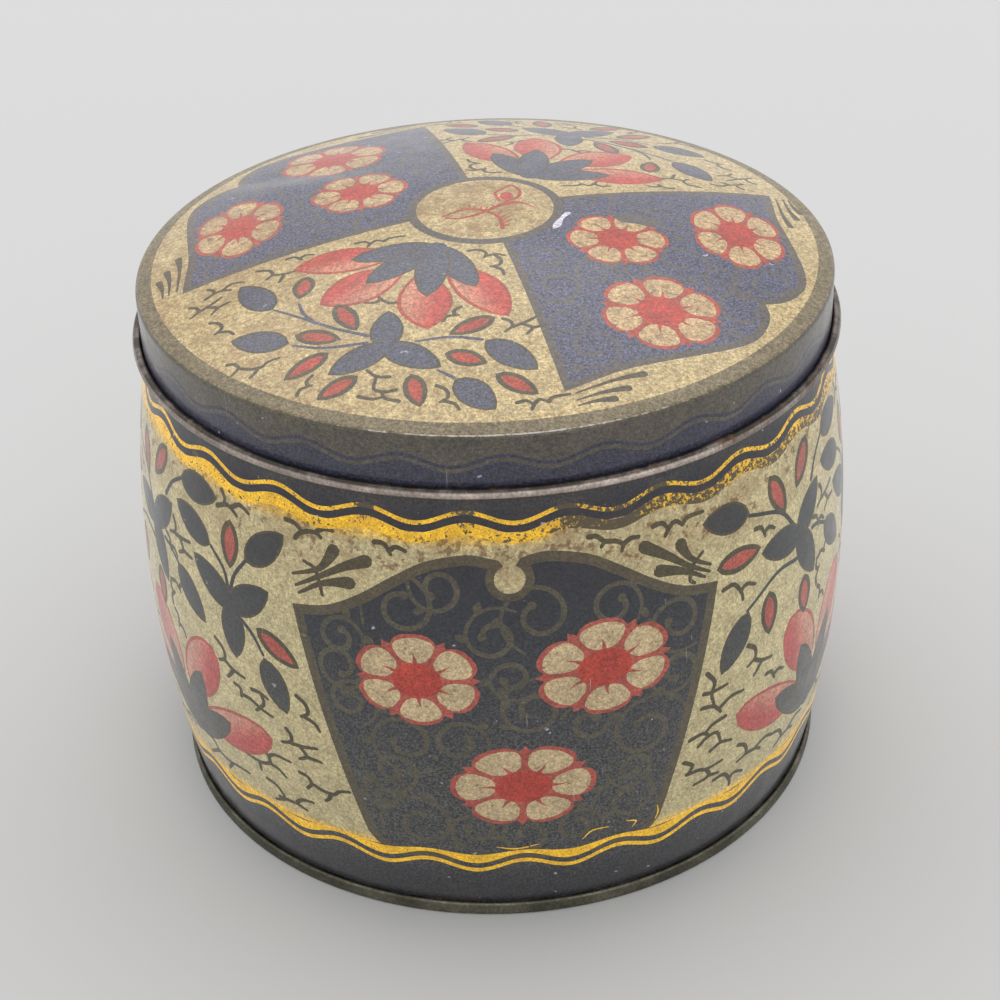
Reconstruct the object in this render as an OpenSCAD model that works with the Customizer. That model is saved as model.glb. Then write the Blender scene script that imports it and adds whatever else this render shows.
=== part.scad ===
// Round biscuit tin of printed tinplate: a barrel-shaped body rolled from one sheet with a lock
// seam at the back, a countersunk base held by a double seam, and a domed slip lid whose skirt
// ends in a curl rolled around a wire. Millimetres, +Z up, front at -Y, origin on the floor at
// the centre of the base.

/* [Sheet] */
// Thickness of the tinplate
sheet_t = 0.3; // [0.25:0.01:0.36]

/* [Body] */
// Height of the barrel from the floor to the shoulder below the lid
shoulder_h = 107.6; // [100:0.2:116]
// How far the belly stands out beyond the neck
belly_out = 5.9; // [3:0.1:9]
// Height of the widest part of the belly
belly_h = 54; // [50:0.5:58]
// Outside diameter of the hollow curl around the mouth
mouth_curl_d = 1.9; // [1.6:0.1:2.6]

/* [Lid] */
// Outside diameter of the lid's skirt
lid_d = 150; // [130:1:170]
// Straight height of the skirt, from the middle of the wired rim to the corner
skirt_h = 11.2; // [9:0.1:16]
// Height of the dome's top above the middle of the corner
dome_h = 11.9; // [7:0.1:18]
// Outside radius of the corner between dome and skirt
corner_r = 1.2; // [0.8:0.1:2.4]
// Diameter of the wire inside the rolled rim
rim_wire_d = 1.63; // [1.2:0.01:2.2]

/* [Base] */
// Height of the double seam around the base
seam_h = 3.2; // [2.8:0.1:4]
// Height of the base panel's upper face above the floor
panel_h = 2.6; // [2.2:0.1:3.4]

/* [Side seam] */
// Width of the folded lock seam at the back
lock_w = 4.5; // [3.5:0.1:6]
// Width of the solder run along the inner edge of the lock seam
solder_w = 1.2; // [0.8:0.1:2]

/* [Clearances] */
// Play between the neck and the inside of the lid's skirt, on the radius
lid_play = 0.3; // [0.2:0.05:0.6]
// Gap between the mouth curl and the underside of the resting lid
lid_seat_gap = 0.3; // [0.2:0.05:0.6]
// Height of the wired rim's underside above the shoulder
rim_lift = 0.5; // [0.3:0.1:1.5]
// Gap between the wire and the sheet rolled around it
wire_gap = 0.03; // [0.02:0.01:0.08]
// Gap between the folded layers of the double seam
seam_gap = 0.06; // [0.04:0.01:0.1]
// Gap between the folded layers of the lock seam
lock_gap = 0.06; // [0.04:0.01:0.1]
// Gap between the solder and the sheet beside it
solder_gap = 0.06; // [0.05:0.01:0.1]

/* [Part] */
// Which piece to draw

/* [Hidden] */
$fa = 2;
$fs = 0.4;

// Lid: the skirt is the size that the rest follows
skirt_r = lid_d / 2;
rim_r = rim_wire_d / 2 + wire_gap + sheet_t;
rim_z = shoulder_h + rim_lift + rim_r;
rim_x = skirt_r - sheet_t + rim_r;
rim_end = 120;
corner_x = skirt_r - corner_r;
corner_z = rim_z + skirt_h;
dome_r = (pow(corner_x, 2) + pow(dome_h, 2) - pow(corner_r, 2)) / (2 * (dome_h - corner_r));
dome_z = corner_z + dome_h - dome_r;
dome_edge = atan2(corner_z - dome_z, corner_x);

// Body: one arc through the neck and the belly, with its middle inside the tin
neck_r = skirt_r - sheet_t - lid_play;
belly_r = neck_r + belly_out;
rise = shoulder_h - belly_h;
arc_r = (pow(rise, 2) + pow(belly_out, 2)) / (2 * belly_out);
arc_x = belly_r - arc_r;
// Radius of the wall at height z, at depth d below its outer face
function wall_r(d, z) = arc_x + sqrt(pow(arc_r - d, 2) - pow(z - belly_h, 2));
neck_t = neck_r - wall_r(sheet_t, shoulder_h);

// Mouth curl: it lies under the dome, clear of it by the seat gap
curl_r = mouth_curl_d / 2;
curl_x = neck_r - curl_r;
curl_z = dome_z + sqrt(pow(dome_r - sheet_t - lid_seat_gap - curl_r, 2) - pow(curl_x, 2));
curl_end = 300;

// Double seam, from the inside: chuck wall, body wall, cover hook, body hook, outer wall
foot_r = wall_r(0, seam_h);
foot_in = wall_r(sheet_t, seam_h);
foot_t = foot_r - foot_in;
body_turn = (sheet_t + 2 * seam_gap) / 2;
cover_turn = (foot_t + 2 * seam_gap) / 2;
body_turn_z = sheet_t + seam_gap + foot_t + body_turn;
cover_turn_z = seam_h - sheet_t - cover_turn;
body_hook_x = foot_r + 2 * body_turn;
cover_hook_x = foot_r + seam_gap;
chuck_x = foot_in - seam_gap;
outer_x = body_hook_x + foot_t + seam_gap;
trough_bend = 0.35;
panel_bend = 0.6;
panel_x = chuck_x - sheet_t - panel_bend;
panel_bend_z = panel_h - sheet_t - panel_bend;
trough_z = sheet_t + trough_bend;

// Lock seam: four layers, all on the inside of the wall, between a lower and an upper height
layer = sheet_t + lock_gap;
lock_lo = seam_h + 1;
lock_hi = curl_z - curl_r - 1;
// Angles are measured from the middle of the seam, at the back
turn = 180 / (PI * belly_r);
lock_a = lock_w / 2 * turn;
fold_a = sheet_t * turn;
slip_a = lock_gap * turn;
slit_a = 0.2 * turn;
trim_a = fold_a / 4;
solder_a = solder_w * turn;

tin_navy = [0.17, 0.18, 0.24];
tin_cream = [0.78, 0.73, 0.56];
tin_bare = [0.55, 0.52, 0.48];
iron = [0.42, 0.40, 0.38];
lead = [0.62, 0.62, 0.62];

// Points on an arc about c, from angle a0 to a1 in n steps
function arc(c, r, a0, a1, n) =
    [for (i = [0 : n]) let (a = a0 + (a1 - a0) * i / n) c + r * [cos(a), sin(a)]];

// Points on the barrel at depth d below its outer face, from height z0 to z1 in n steps
function barrel(d, z0, z1, n) =
    [for (i = [0 : n]) let (z = z0 + (z1 - z0) * i / n) [wall_r(d, z), z]];

function back_to_front(points) = [for (i = [len(points) - 1 : -1 : 0]) points[i]];

// Outline of a sheet between the points of its two faces
module sheet_outline(face, other_face) {
    polygon(concat(face, back_to_front(other_face)));
}

// Body sheet, outer face for k = 0 and inner face for k = 1: hook in the base seam, barrel,
// neck and the curl turned inwards at the mouth
function wall_face(k) = concat(
    [[body_hook_x + k * foot_t, cover_turn_z - seam_gap]],
    arc([foot_r + body_turn, body_turn_z], body_turn + k * foot_t, 360, 180, 10),
    barrel(k * sheet_t, seam_h, shoulder_h, 36),
    arc([curl_x, curl_z], curl_r - k * neck_t, 0, curl_end, 20));

// Base disc, upper face for k = 0 and under face for k = 1: countersunk panel, chuck wall,
// trough, outer wall of the seam and the hook that holds the body's flange
function base_face(k) = concat(
    [[0, panel_h - k * sheet_t]],
    arc([panel_x, panel_bend_z], panel_bend + (1 - k) * sheet_t, 90, 0, 6),
    arc([chuck_x + trough_bend, trough_z], trough_bend + k * sheet_t, 180, 270, 6),
    arc([outer_x - trough_bend, trough_z], trough_bend + k * sheet_t, 270, 360, 6),
    arc([outer_x - cover_turn, cover_turn_z], cover_turn + k * sheet_t, 0, 180, 10),
    [[cover_hook_x + (1 - k) * sheet_t, body_turn_z + seam_gap]]);

// Lid sheet, outer face for k = 0 and inner face for k = 1: dome, corner, skirt and the rim
// rolled outwards around its wire
function lid_face(k) = concat(
    arc([0, dome_z], dome_r - k * sheet_t, 90, dome_edge, 24),
    arc([corner_x, corner_z], corner_r - k * sheet_t, dome_edge, 0, 6),
    arc([rim_x, rim_z], rim_r - (1 - k) * sheet_t, 180, 360 + rim_end, 24));

// Layer of the lock seam between two depths, which follows the barrel and the neck
function lock_face(d) =
    concat(barrel(d, lock_lo, shoulder_h, 12), [[wall_r(d, shoulder_h), lock_hi]]);

// Part of such a layer between two angles from the middle of the seam
module lock_part(a0, a1, d0, d1) {
    rotate([0, 0, 90 + a0]) rotate_extrude(angle = a1 - a0)
        sheet_outline(lock_face(d0), lock_face(d1));
}

// Body sheet with its two ends hooked into each other at the back
module body_wall() {
    half_t = sheet_t / 2;
    half_a = fold_a / 2;
    color(tin_cream) {
        difference() {
            rotate_extrude() sheet_outline(wall_face(0), wall_face(1));
            lock_part(lock_a, lock_a + slit_a, -1, sheet_t + lock_gap / 2);
        }
        // First end: folded inwards and back under itself
        lock_part(lock_a - fold_a, lock_a - trim_a, half_t, 2 * layer + half_t);
        lock_part(slip_a - lock_a, lock_a - half_a, 2 * layer, 2 * layer + sheet_t);
        // Second end: set inwards, run below the first and folded outwards into it
        lock_part(lock_a + slit_a + trim_a, lock_a + slit_a + fold_a, half_t, 3 * layer + half_t);
        lock_part(-lock_a - half_a, lock_a + slit_a + half_a, 3 * layer, 3 * layer + sheet_t);
        lock_part(-lock_a - fold_a, -lock_a, layer + half_t, 3 * layer + half_t);
        lock_part(-lock_a - half_a, lock_a - fold_a - slip_a, layer, layer + sheet_t);
    }
}

// Run of solder in the corner between the lock seam's edge and the wall
module side_seam_solder() {
    edge_a = lock_a + fold_a + solder_gap * turn;
    color(lead) lock_part(-edge_a - solder_a, -edge_a, sheet_t + solder_gap, 3 * layer);
}

// Base disc, held to the body by the double seam
module base_pan() {
    color(tin_bare) rotate_extrude() sheet_outline(base_face(0), base_face(1));
}

// Lid pressed from one disc
module lid_shell() {
    color(tin_navy) rotate_extrude() sheet_outline(lid_face(0), lid_face(1));
}

// Iron wire that stiffens the lid's rim
module lid_rim_wire() {
    color(iron) rotate_extrude() translate([rim_x, rim_z]) circle(rim_wire_d / 2);
}

body_wall();
side_seam_solder();
base_pan();
lid_shell();
lid_rim_wire();
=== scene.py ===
"""Looks of a round printed biscuit tin with a loose lid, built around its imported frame."""
import math

import bpy
import numpy as np
from bpy.props import FloatProperty, FloatVectorProperty, PointerProperty
from mathutils import Matrix, Vector
from mathutils.geometry import delaunay_2d_cdt


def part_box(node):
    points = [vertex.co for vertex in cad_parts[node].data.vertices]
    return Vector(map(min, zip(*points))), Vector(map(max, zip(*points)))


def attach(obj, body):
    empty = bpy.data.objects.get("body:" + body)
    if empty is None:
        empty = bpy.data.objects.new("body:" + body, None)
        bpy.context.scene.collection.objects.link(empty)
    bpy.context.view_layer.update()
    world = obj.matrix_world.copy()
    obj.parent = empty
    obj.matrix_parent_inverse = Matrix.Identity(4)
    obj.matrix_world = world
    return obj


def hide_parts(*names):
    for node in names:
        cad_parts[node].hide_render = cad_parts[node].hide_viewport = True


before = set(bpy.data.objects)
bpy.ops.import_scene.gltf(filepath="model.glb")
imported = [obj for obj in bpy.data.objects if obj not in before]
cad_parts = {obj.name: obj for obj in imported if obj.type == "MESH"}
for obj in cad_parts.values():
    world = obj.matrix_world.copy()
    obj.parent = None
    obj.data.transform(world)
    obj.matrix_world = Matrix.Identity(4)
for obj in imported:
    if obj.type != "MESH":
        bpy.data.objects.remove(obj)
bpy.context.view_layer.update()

bl_info = {
    "name": "Printed biscuit tin",
    "version": (1, 0, 0),
    "blender": (4, 5, 0),
    "location": "3D View > Sidebar > Tin",
    "description": "Dresses a round biscuit tin with its printed panels, seams, wear and stage",
    "category": "Object",
}

MM = 0.001
WELD = 1e-6

# Inks of the print, numbered in the order of the ramps that colour them
INKS = (
    "navy", "cream", "line", "gold", "red", "petal", "border",
    "scroll", "leaf", "pale", "band", "glow", "chip", "core",
)
NAVY, CREAM, LINE, GOLD, RED, PETAL, BORDER, SCROLL, LEAF, PALE, BAND, GLOW, CHIP, CORE = range(len(INKS))

# The body's print repeats three times and its wavy edges twenty-four times around the tin,
# and the round surfaces have a column of points at each station
PANELS = 3
WAVES = 24
STATIONS = 288
HALF_SECTOR = 180 / PANELS
WAVE_TURN = 360 / WAVES
STATION_TURN = 360 / STATIONS

# Points of the flat print closer than this many millimetres are one point
PRINT_WELD = 1e-5

# Points this close to a surface, in millimetres, lie on it; points off the seam's side count as far from it
TOUCH = 0.01
FAR = 1e3


def length(name, description, value):
    """A size in the sidebar, given here in millimetres."""
    return FloatProperty(
        name=name, description=description, unit="LENGTH", precision=5, min=0.0, default=value * MM
    )


def angle(name, description, value):
    """An angle in the sidebar, given here in degrees."""
    start = math.radians(value)
    return FloatProperty(name=name, description=description, subtype="ANGLE", unit="ROTATION", default=start)


def colour(name, description, red, green, blue):
    """A colour in the sidebar, given here in steps from 0 to 255."""
    start = (red / 255, green / 255, blue / 255)
    return FloatVectorProperty(
        name=name, description=description, subtype="COLOR_GAMMA", size=3, min=0.0, max=1.0, default=start
    )


def linear(shade):
    """A sidebar colour as the shaders take it, by the usual sRGB curve."""
    channels = [c / 12.92 if c <= 0.04045 else ((c + 0.055) / 1.055) ** 2.4 for c in shade]
    return (*channels, 1.0)


class TinSizes(bpy.types.PropertyGroup):
    """Sizes of the tin's sheets, folds and seams."""

    sheet: length("Sheet", "Thickness of the tinplate", 0.3)
    belly_r: length("Belly radius", "Widest radius of the body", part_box("body_wall")[1].x / MM)
    belly_h: length("Belly height", "Height of the widest part", 54)
    shoulder_h: length("Shoulder height", "Height where the barrel meets the neck", 107.6)
    neck_r: length("Neck radius", "Radius of the neck under the lid", 74.4)
    mouth_curl_d: length("Mouth curl", "Diameter of the curl at the mouth", 1.9)
    seam_h: length("Base seam", "Height of the base seam", 3.2)
    seam_gap: length("Seam gap", "Gap between the layers of the base seam", 0.06)
    panel_h: length("Base panel", "Height of the base panel over the floor", 2.6)
    lock_w: length("Side seam", "Width of the folded seam at the back", 5.0)
    lock_depth: length("Side seam depth", "Depth of the folded seam inside the wall", 1.08)
    lid_d: length("Lid", "Diameter of the lid's skirt", 150)
    lid_top: length("Lid top", "Height of the lid's crown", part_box("lid_shell")[1].z / MM)
    skirt_h: length("Skirt", "Height of the skirt over the middle of its rim", 11.2)
    dome_h: length("Dome", "Rise of the dome over the corner's middle", 11.9)
    corner_r: length("Corner", "Radius between dome and skirt", 1.2)
    rim_r: length("Rim", "Outer radius of the rolled rim", 1.145)


class TinColours(bpy.types.PropertyGroup):
    """Colours of the inks, the bare metal and the stage."""

    navy: colour("Navy", "Ground of the dark panels and edges", 32, 33, 36)
    cream: colour("Cream", "Ground of the pale panels", 183, 170, 129)
    line: colour("Line", "Twigs and outlines on the pale panels", 74, 66, 46)
    gold: colour("Gold", "Wavy borders", 255, 200, 40)
    amber: colour("Amber", "Thin places of the gold", 190, 126, 40)
    red: colour("Red", "Flowers and small leaves", 162, 78, 66)
    core: colour("Core", "Middle of the flowers", 168, 60, 46)
    petal: colour("Petal", "Deep side of the large petals", 177, 77, 72)
    border: colour("Border", "Frame of the dark panels", 82, 73, 53)
    scroll: colour("Scroll", "Tendrils on the dark panels", 80, 74, 57)
    leaf: colour("Leaf", "Dark leaves and stems", 51, 53, 50)
    pale: colour("Pale petal", "Petals of the flowers", 186, 164, 127)
    band: colour("Band", "Edge of the lid", 118, 107, 84)
    glow: colour("Glow", "Cream beside the gold", 183, 170, 129)
    chip: colour("Chip", "Chipped and scratched print", 196, 192, 206)
    lid_tint: colour("Lid tint", "Browning of the lid's pale inks", 255, 244, 232)
    lid_reds: colour("Lid reds", "Deepening of the lid's reds", 255, 208, 184)
    dusk: colour("Dusk", "Blue specks in the lid's navy", 50, 52, 76)
    night: colour("Night", "Blue specks in the body's navy", 44, 49, 68)
    # Painted sheen: a bluish painted reflection on the lid's dark inks, with some dull varnish bloom
    film: colour("Film", "Dull film on the lid's dark inks", 164, 164, 208)
    # Painted sheen on the body's dark inks, lightest low down, and the colour of dust specks there
    dust_and_sheen: colour("Dust", "Dull film low on the body", 160, 158, 142)
    faded: colour("Faded petal", "Pale side of the large petals", 190, 148, 124)
    speck: colour("Speck", "Fine dark specks", 134, 98, 54)
    rust: colour("Rust", "Rust spots", 104, 67, 36)
    tin: colour("Tin", "Tinplate inside", 222, 220, 214)
    bare: colour("Bare tin", "Rolled edges and bare tinplate", 218, 203, 193)
    # Bright worn metal, laid on the lid's corner as a painted highlight
    wear_and_highlight: colour("Shine", "Bright metal on the worn edges", 222, 212, 204)
    iron: colour("Iron", "Wire in the rim", 96, 88, 80)
    solder: colour("Solder", "Solder in the side seam", 150, 150, 148)
    floor: colour("Floor", "Floor and background", 190, 190, 190)


class TinView(bpy.types.PropertyGroup):
    """Where the camera stands."""

    turn: angle("Turn", "Turn of the camera to the left of the front panel", 1.7)
    tilt: angle("Tilt", "Height of the camera over the horizon", 33.24)
    roll: angle("Roll", "Roll of the camera", -2.05)
    away: length("Distance", "Distance from the aim", 485.3)
    aim_h: length("Aim height", "Height of the aim", 60)
    left: FloatProperty(name="Left", description="Step to the side", unit="LENGTH", default=1.564 * MM)
    down: FloatProperty(name="Down", description="Step down", unit="LENGTH", default=1.589 * MM)
    lens: FloatProperty(name="Lens", description="Focal length on a 36 mm sensor", default=75.23)


class Tin:
    """Measures of the tin in millimetres, worked out from the sidebar's sizes."""

    def __init__(self, sizes):
        for name in TinSizes.__annotations__:
            setattr(self, name, getattr(sizes, name) / MM)
        rise, out = self.shoulder_h - self.belly_h, self.belly_r - self.neck_r
        self.arc_r = (rise**2 + out**2) / (2 * out)
        self.arc_x = self.belly_r - self.arc_r
        self.skirt_r = self.lid_d / 2
        self.rim_x = self.skirt_r - self.sheet + self.rim_r
        self.corner_x = self.skirt_r - self.corner_r
        self.corner_z = self.lid_top - self.dome_h
        self.rim_z = self.corner_z - self.skirt_h
        rise, run, bend = self.dome_h, self.corner_x, self.corner_r
        self.dome_r = (run**2 + rise**2 - bend**2) / (2 * (rise - bend))
        self.dome_z = self.lid_top - self.dome_r
        self.dome_edge = math.degrees(math.atan2(self.corner_z - self.dome_z, self.corner_x))
        self.dome_out = self.dome_r * math.cos(math.radians(self.dome_edge))
        self.curl_r = self.mouth_curl_d / 2
        self.curl_x = self.neck_r - self.curl_r
        clear = self.dome_r - 2 * self.sheet - self.curl_r
        self.curl_z = self.dome_z + math.sqrt(clear**2 - self.curl_x**2)
        self.neck_t = self.neck_r - self.wall(self.shoulder_h, self.sheet)
        self.foot_r = self.wall(self.seam_h)
        self.foot_in = self.wall(self.seam_h, self.sheet)
        self.foot_t = self.foot_r - self.foot_in
        self.per_degree = math.radians(self.belly_r)

    def wall(self, z, depth=0.0):
        """Radius of the barrel at a height, at a depth below its outer face."""
        return self.arc_x + np.sqrt((self.arc_r - depth) ** 2 - (z - self.belly_h) ** 2)

    def dome(self, r, depth=0.0):
        """Height of the lid's dome at a radius, at a depth below its outer face."""
        return self.dome_z + np.sqrt((self.dome_r - depth) ** 2 - r**2)


def arc(x, z, r, start, end, steps):
    """Points on an arc, as radius and height."""
    a = np.radians(np.linspace(start, end, steps + 1))
    return np.column_stack((x + r * np.cos(a), z + r * np.sin(a)))


# Brush marks of the print, as closed outlines in millimetres


class Shape:
    """One printed shape: its outline, its ink, how its colour fades across it, and what it stays within."""

    def __init__(self, points, ink, fade=None, within=None):
        self.points = dense(points)
        self.ink = ink
        self.fade = fade
        self.within = within

    def moved(self, by):
        fade = None if self.fade is None else lambda p: self.fade(p - by)
        within = None if self.within is None else self.within + by
        return Shape(self.points + by, self.ink, fade, within)

    def turned(self, degrees):
        spin = turn_matrix(degrees)
        fade = None if self.fade is None else lambda p: self.fade(p @ spin)
        within = None if self.within is None else self.within @ spin.T
        return Shape(self.points @ spin.T, self.ink, fade, within)


def dense(points, step=3.0):
    """Closed outline with no edge longer than a step, so that it follows the curve of the tin."""
    points = np.asarray(points, float)
    runs = []
    for a, b in zip(points, np.roll(points, -1, 0)):
        parts = max(1, math.ceil(np.linalg.norm(b - a) / step))
        runs.append(a + np.linspace(0, 1, parts, endpoint=False)[:, None] * (b - a))
    return np.vstack(runs)


def turn_matrix(degrees):
    a = math.radians(degrees)
    return np.array(((math.cos(a), -math.sin(a)), (math.sin(a), math.cos(a))))


def soft(points, steps=5):
    """Points along a soft curve through the given ones."""
    p = np.asarray(points, float)
    p = np.vstack((2 * p[0] - p[1], p, 2 * p[-1] - p[-2]))
    t = np.linspace(0, 1, steps, endpoint=False)[:, None]
    runs = []
    for a, b, c, d in zip(p, p[1:], p[2:], p[3:]):
        square, cube = 2 * a - 5 * b + 4 * c - d, 3 * (b - c) + d - a
        runs.append(b + 0.5 * ((c - a) * t + square * t**2 + cube * t**3))
    return np.vstack((*runs, p[-2:-1]))


def stroke(points, width, start=1.0, end=1.0, middle=1.0, steps=4):
    """Outline of a brush stroke with round ends; start, middle and end are its relative widths."""
    p = soft(points, steps)
    along = np.gradient(p, axis=0)
    along /= np.linalg.norm(along, axis=1)[:, None]
    side = np.column_stack((-along[:, 1], along[:, 0]))
    half = width / 2 * np.interp(np.linspace(0, 1, len(p)), (0, 0.5, 1), (start, middle, end))[:, None]
    a = np.radians((45, 90, 135))[:, None]
    first = p[0] + half[0] * (side[0] * np.cos(a) - along[0] * np.sin(a))
    last = p[-1] + half[-1] * (along[-1] * np.sin(a) - side[-1] * np.cos(a))
    return np.vstack((first, p - side * half, last, (p + side * half)[::-1]))


def leaf(base, tip, width, bend=0.0, fullness=0.68, lean=0.88, steps=10):
    """Pointed leaf from its base to its tip, bent to the left; a small lean makes it wider at its base."""
    base, tip = np.asarray(base, float), np.asarray(tip, float)
    along = tip - base
    side = np.array((-along[1], along[0])) / np.linalg.norm(along)
    t = np.linspace(0, 1, steps + 1)[:, None]
    middle = base + t * along + side * bend * np.sin(np.pi * t)
    half = width / 2 * np.sin(np.pi * t**lean) ** fullness
    return np.vstack((middle - side * half, (middle + side * half)[-2:0:-1]))


def oval(centre, wide, high, steps=24):
    a = np.linspace(0, 2 * np.pi, steps, endpoint=False)
    return np.column_stack((centre[0] + wide * np.cos(a), centre[1] + high * np.sin(a)))


def polar(centre, wide, high, r, degrees):
    a = np.radians(degrees)
    return np.column_stack((centre[0] + wide * r * np.cos(a), centre[1] + high * r * np.sin(a)))


def shorter(base, tip, cut):
    """The two ends of a line, both drawn in by a distance."""
    base, tip = np.asarray(base, float), np.asarray(tip, float)
    along = (tip - base) / np.linalg.norm(tip - base)
    return base + cut * along, tip - cut * along


def dark_leaf(base, tip, width=7.0, fullness=0.68):
    """Dark leaf with a thin olive edge."""
    edge = 0.5
    inner = leaf(*shorter(base, tip, 1.4 * edge), width - 2 * edge, 0, fullness)
    return [Shape(leaf(base, tip, width, 0, fullness), LINE), Shape(inner, LEAF)]


def red_leaf(base, tip, width=5.6):
    """Red leaf with a broad dark outline."""
    edge = 0.22 * width
    inner = leaf(*shorter(base, tip, 1.2 * edge), width - 2 * edge, 0, 0.75)
    return [Shape(leaf(base, tip, width), LINE), Shape(inner, RED)]


def rosette(centre, wide, high, turn):
    """Six pale petals on a red ground that shows as outlines, ticks, a middle and spikes."""
    lobe = np.array((0, 9, 15, 20, 23.5, 25, 30))
    reach = np.array((1.0, 0.995, 0.97, 0.92, 0.865, 0.85, 0.97))
    lobe = np.concatenate((lobe, 60 - lobe[-2:0:-1]))
    reach = np.concatenate((reach, reach[-2:0:-1]))
    starts = turn + 60 * np.arange(6)
    ground = polar(centre, wide, high, np.tile(reach, 6), (starts[:, None] + lobe).ravel())
    shapes = [Shape(ground, RED)]
    along = np.array((0.39, 0.44, 0.51, 0.60, 0.68, 0.76, 0.83, 0.88, 0.91, 0.92))
    half = np.array((0.10, 0.19, 0.245, 0.29, 0.32, 0.32, 0.275, 0.19, 0.09, 0.0))
    r = np.hypot(along, half)
    off = np.degrees(np.arctan2(half, along))
    petal_r = np.concatenate((r, r[-2::-1]))
    petal_off = np.concatenate((-off, off[-2::-1]))
    for start in starts:
        shapes.append(Shape(polar(centre, wide, high, petal_r, start + petal_off), PALE))
        tick = start + np.array((-8, -3, 2, 2, 8))
        shapes.append(Shape(polar(centre, wide, high, np.array((0.34, 0.48, 0.62, 0.48, 0.34)), tick), RED))
    return shapes + [Shape(oval(centre, 0.38 * wide, 0.38 * high), CORE)]


def petal(base, tip, width, bend, deep_side, fullness):
    """Large petal: deep on one side and at the tip, fading on the other, with a fine outline."""
    base, tip = np.asarray(base, float), np.asarray(tip, float)
    along = tip - base
    reach = np.linalg.norm(along)
    along /= reach
    side = np.array((-along[1], along[0])) * deep_side

    def fade(p):
        across = (p - base) @ side / (width / 2)
        up = (p - base) @ along / reach
        return 0.8 * np.clip(0.4 - 0.85 * across - 0.75 * (up - 0.5), 0, 1)

    def blade(cut, wide):
        return leaf(*shorter(base, tip, cut), wide, bend, fullness, 1.1, 14)

    core = [Shape(blade(2.0, width * k), PETAL, fade) for k in (0.6, 0.35, 0.12)]
    return [Shape(blade(0, width), RED), Shape(blade(0.9, width - 1.7), PETAL, fade), *core]


def lotus(centre, axis, size, spread, fullness=0.5):
    """Open flower seen from the side: four red petals behind four dark ones."""
    centre = np.asarray(centre, float)

    def point(r, degrees):
        a = math.radians(axis + degrees)
        return centre + size * r * np.array((math.cos(a), math.sin(a)))

    shapes = []
    for hand in (-1, 1):
        outer = point(6, hand * 55), point(27.8, hand * spread)
        shapes += petal(*outer, size * 9.4, hand * size * 0.5, hand, fullness)
    for hand in (-1, 1):
        inner = point(8, hand * 12), point(26.6, hand * 27)
        shapes += petal(*inner, size * 10.8, 0, hand, fullness)
    for hand in (-1, 1):
        shapes += dark_leaf(point(-2, 0), point(16.4, hand * (40 + spread / 3)), size * 6.6, 0.58)
        shapes += dark_leaf(point(-2, 0), point(16.4, hand * 24.5), size * 7.0, 0.58)
    return shapes + [Shape(oval(point(-1.0, 0), size * 2.6, size * 2.3, 16), LEAF)]


def trefoil(centre, tips, width):
    """Three dark leaves that meet in a round middle."""
    centre = np.asarray(centre, float)
    shapes = []
    for tip in tips:
        shapes += dark_leaf(centre - 0.1 * (np.array(tip) - centre), tip, width)
    return shapes + [Shape(oval(centre, width * 0.3, width * 0.3, 12), LEAF)]


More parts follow.
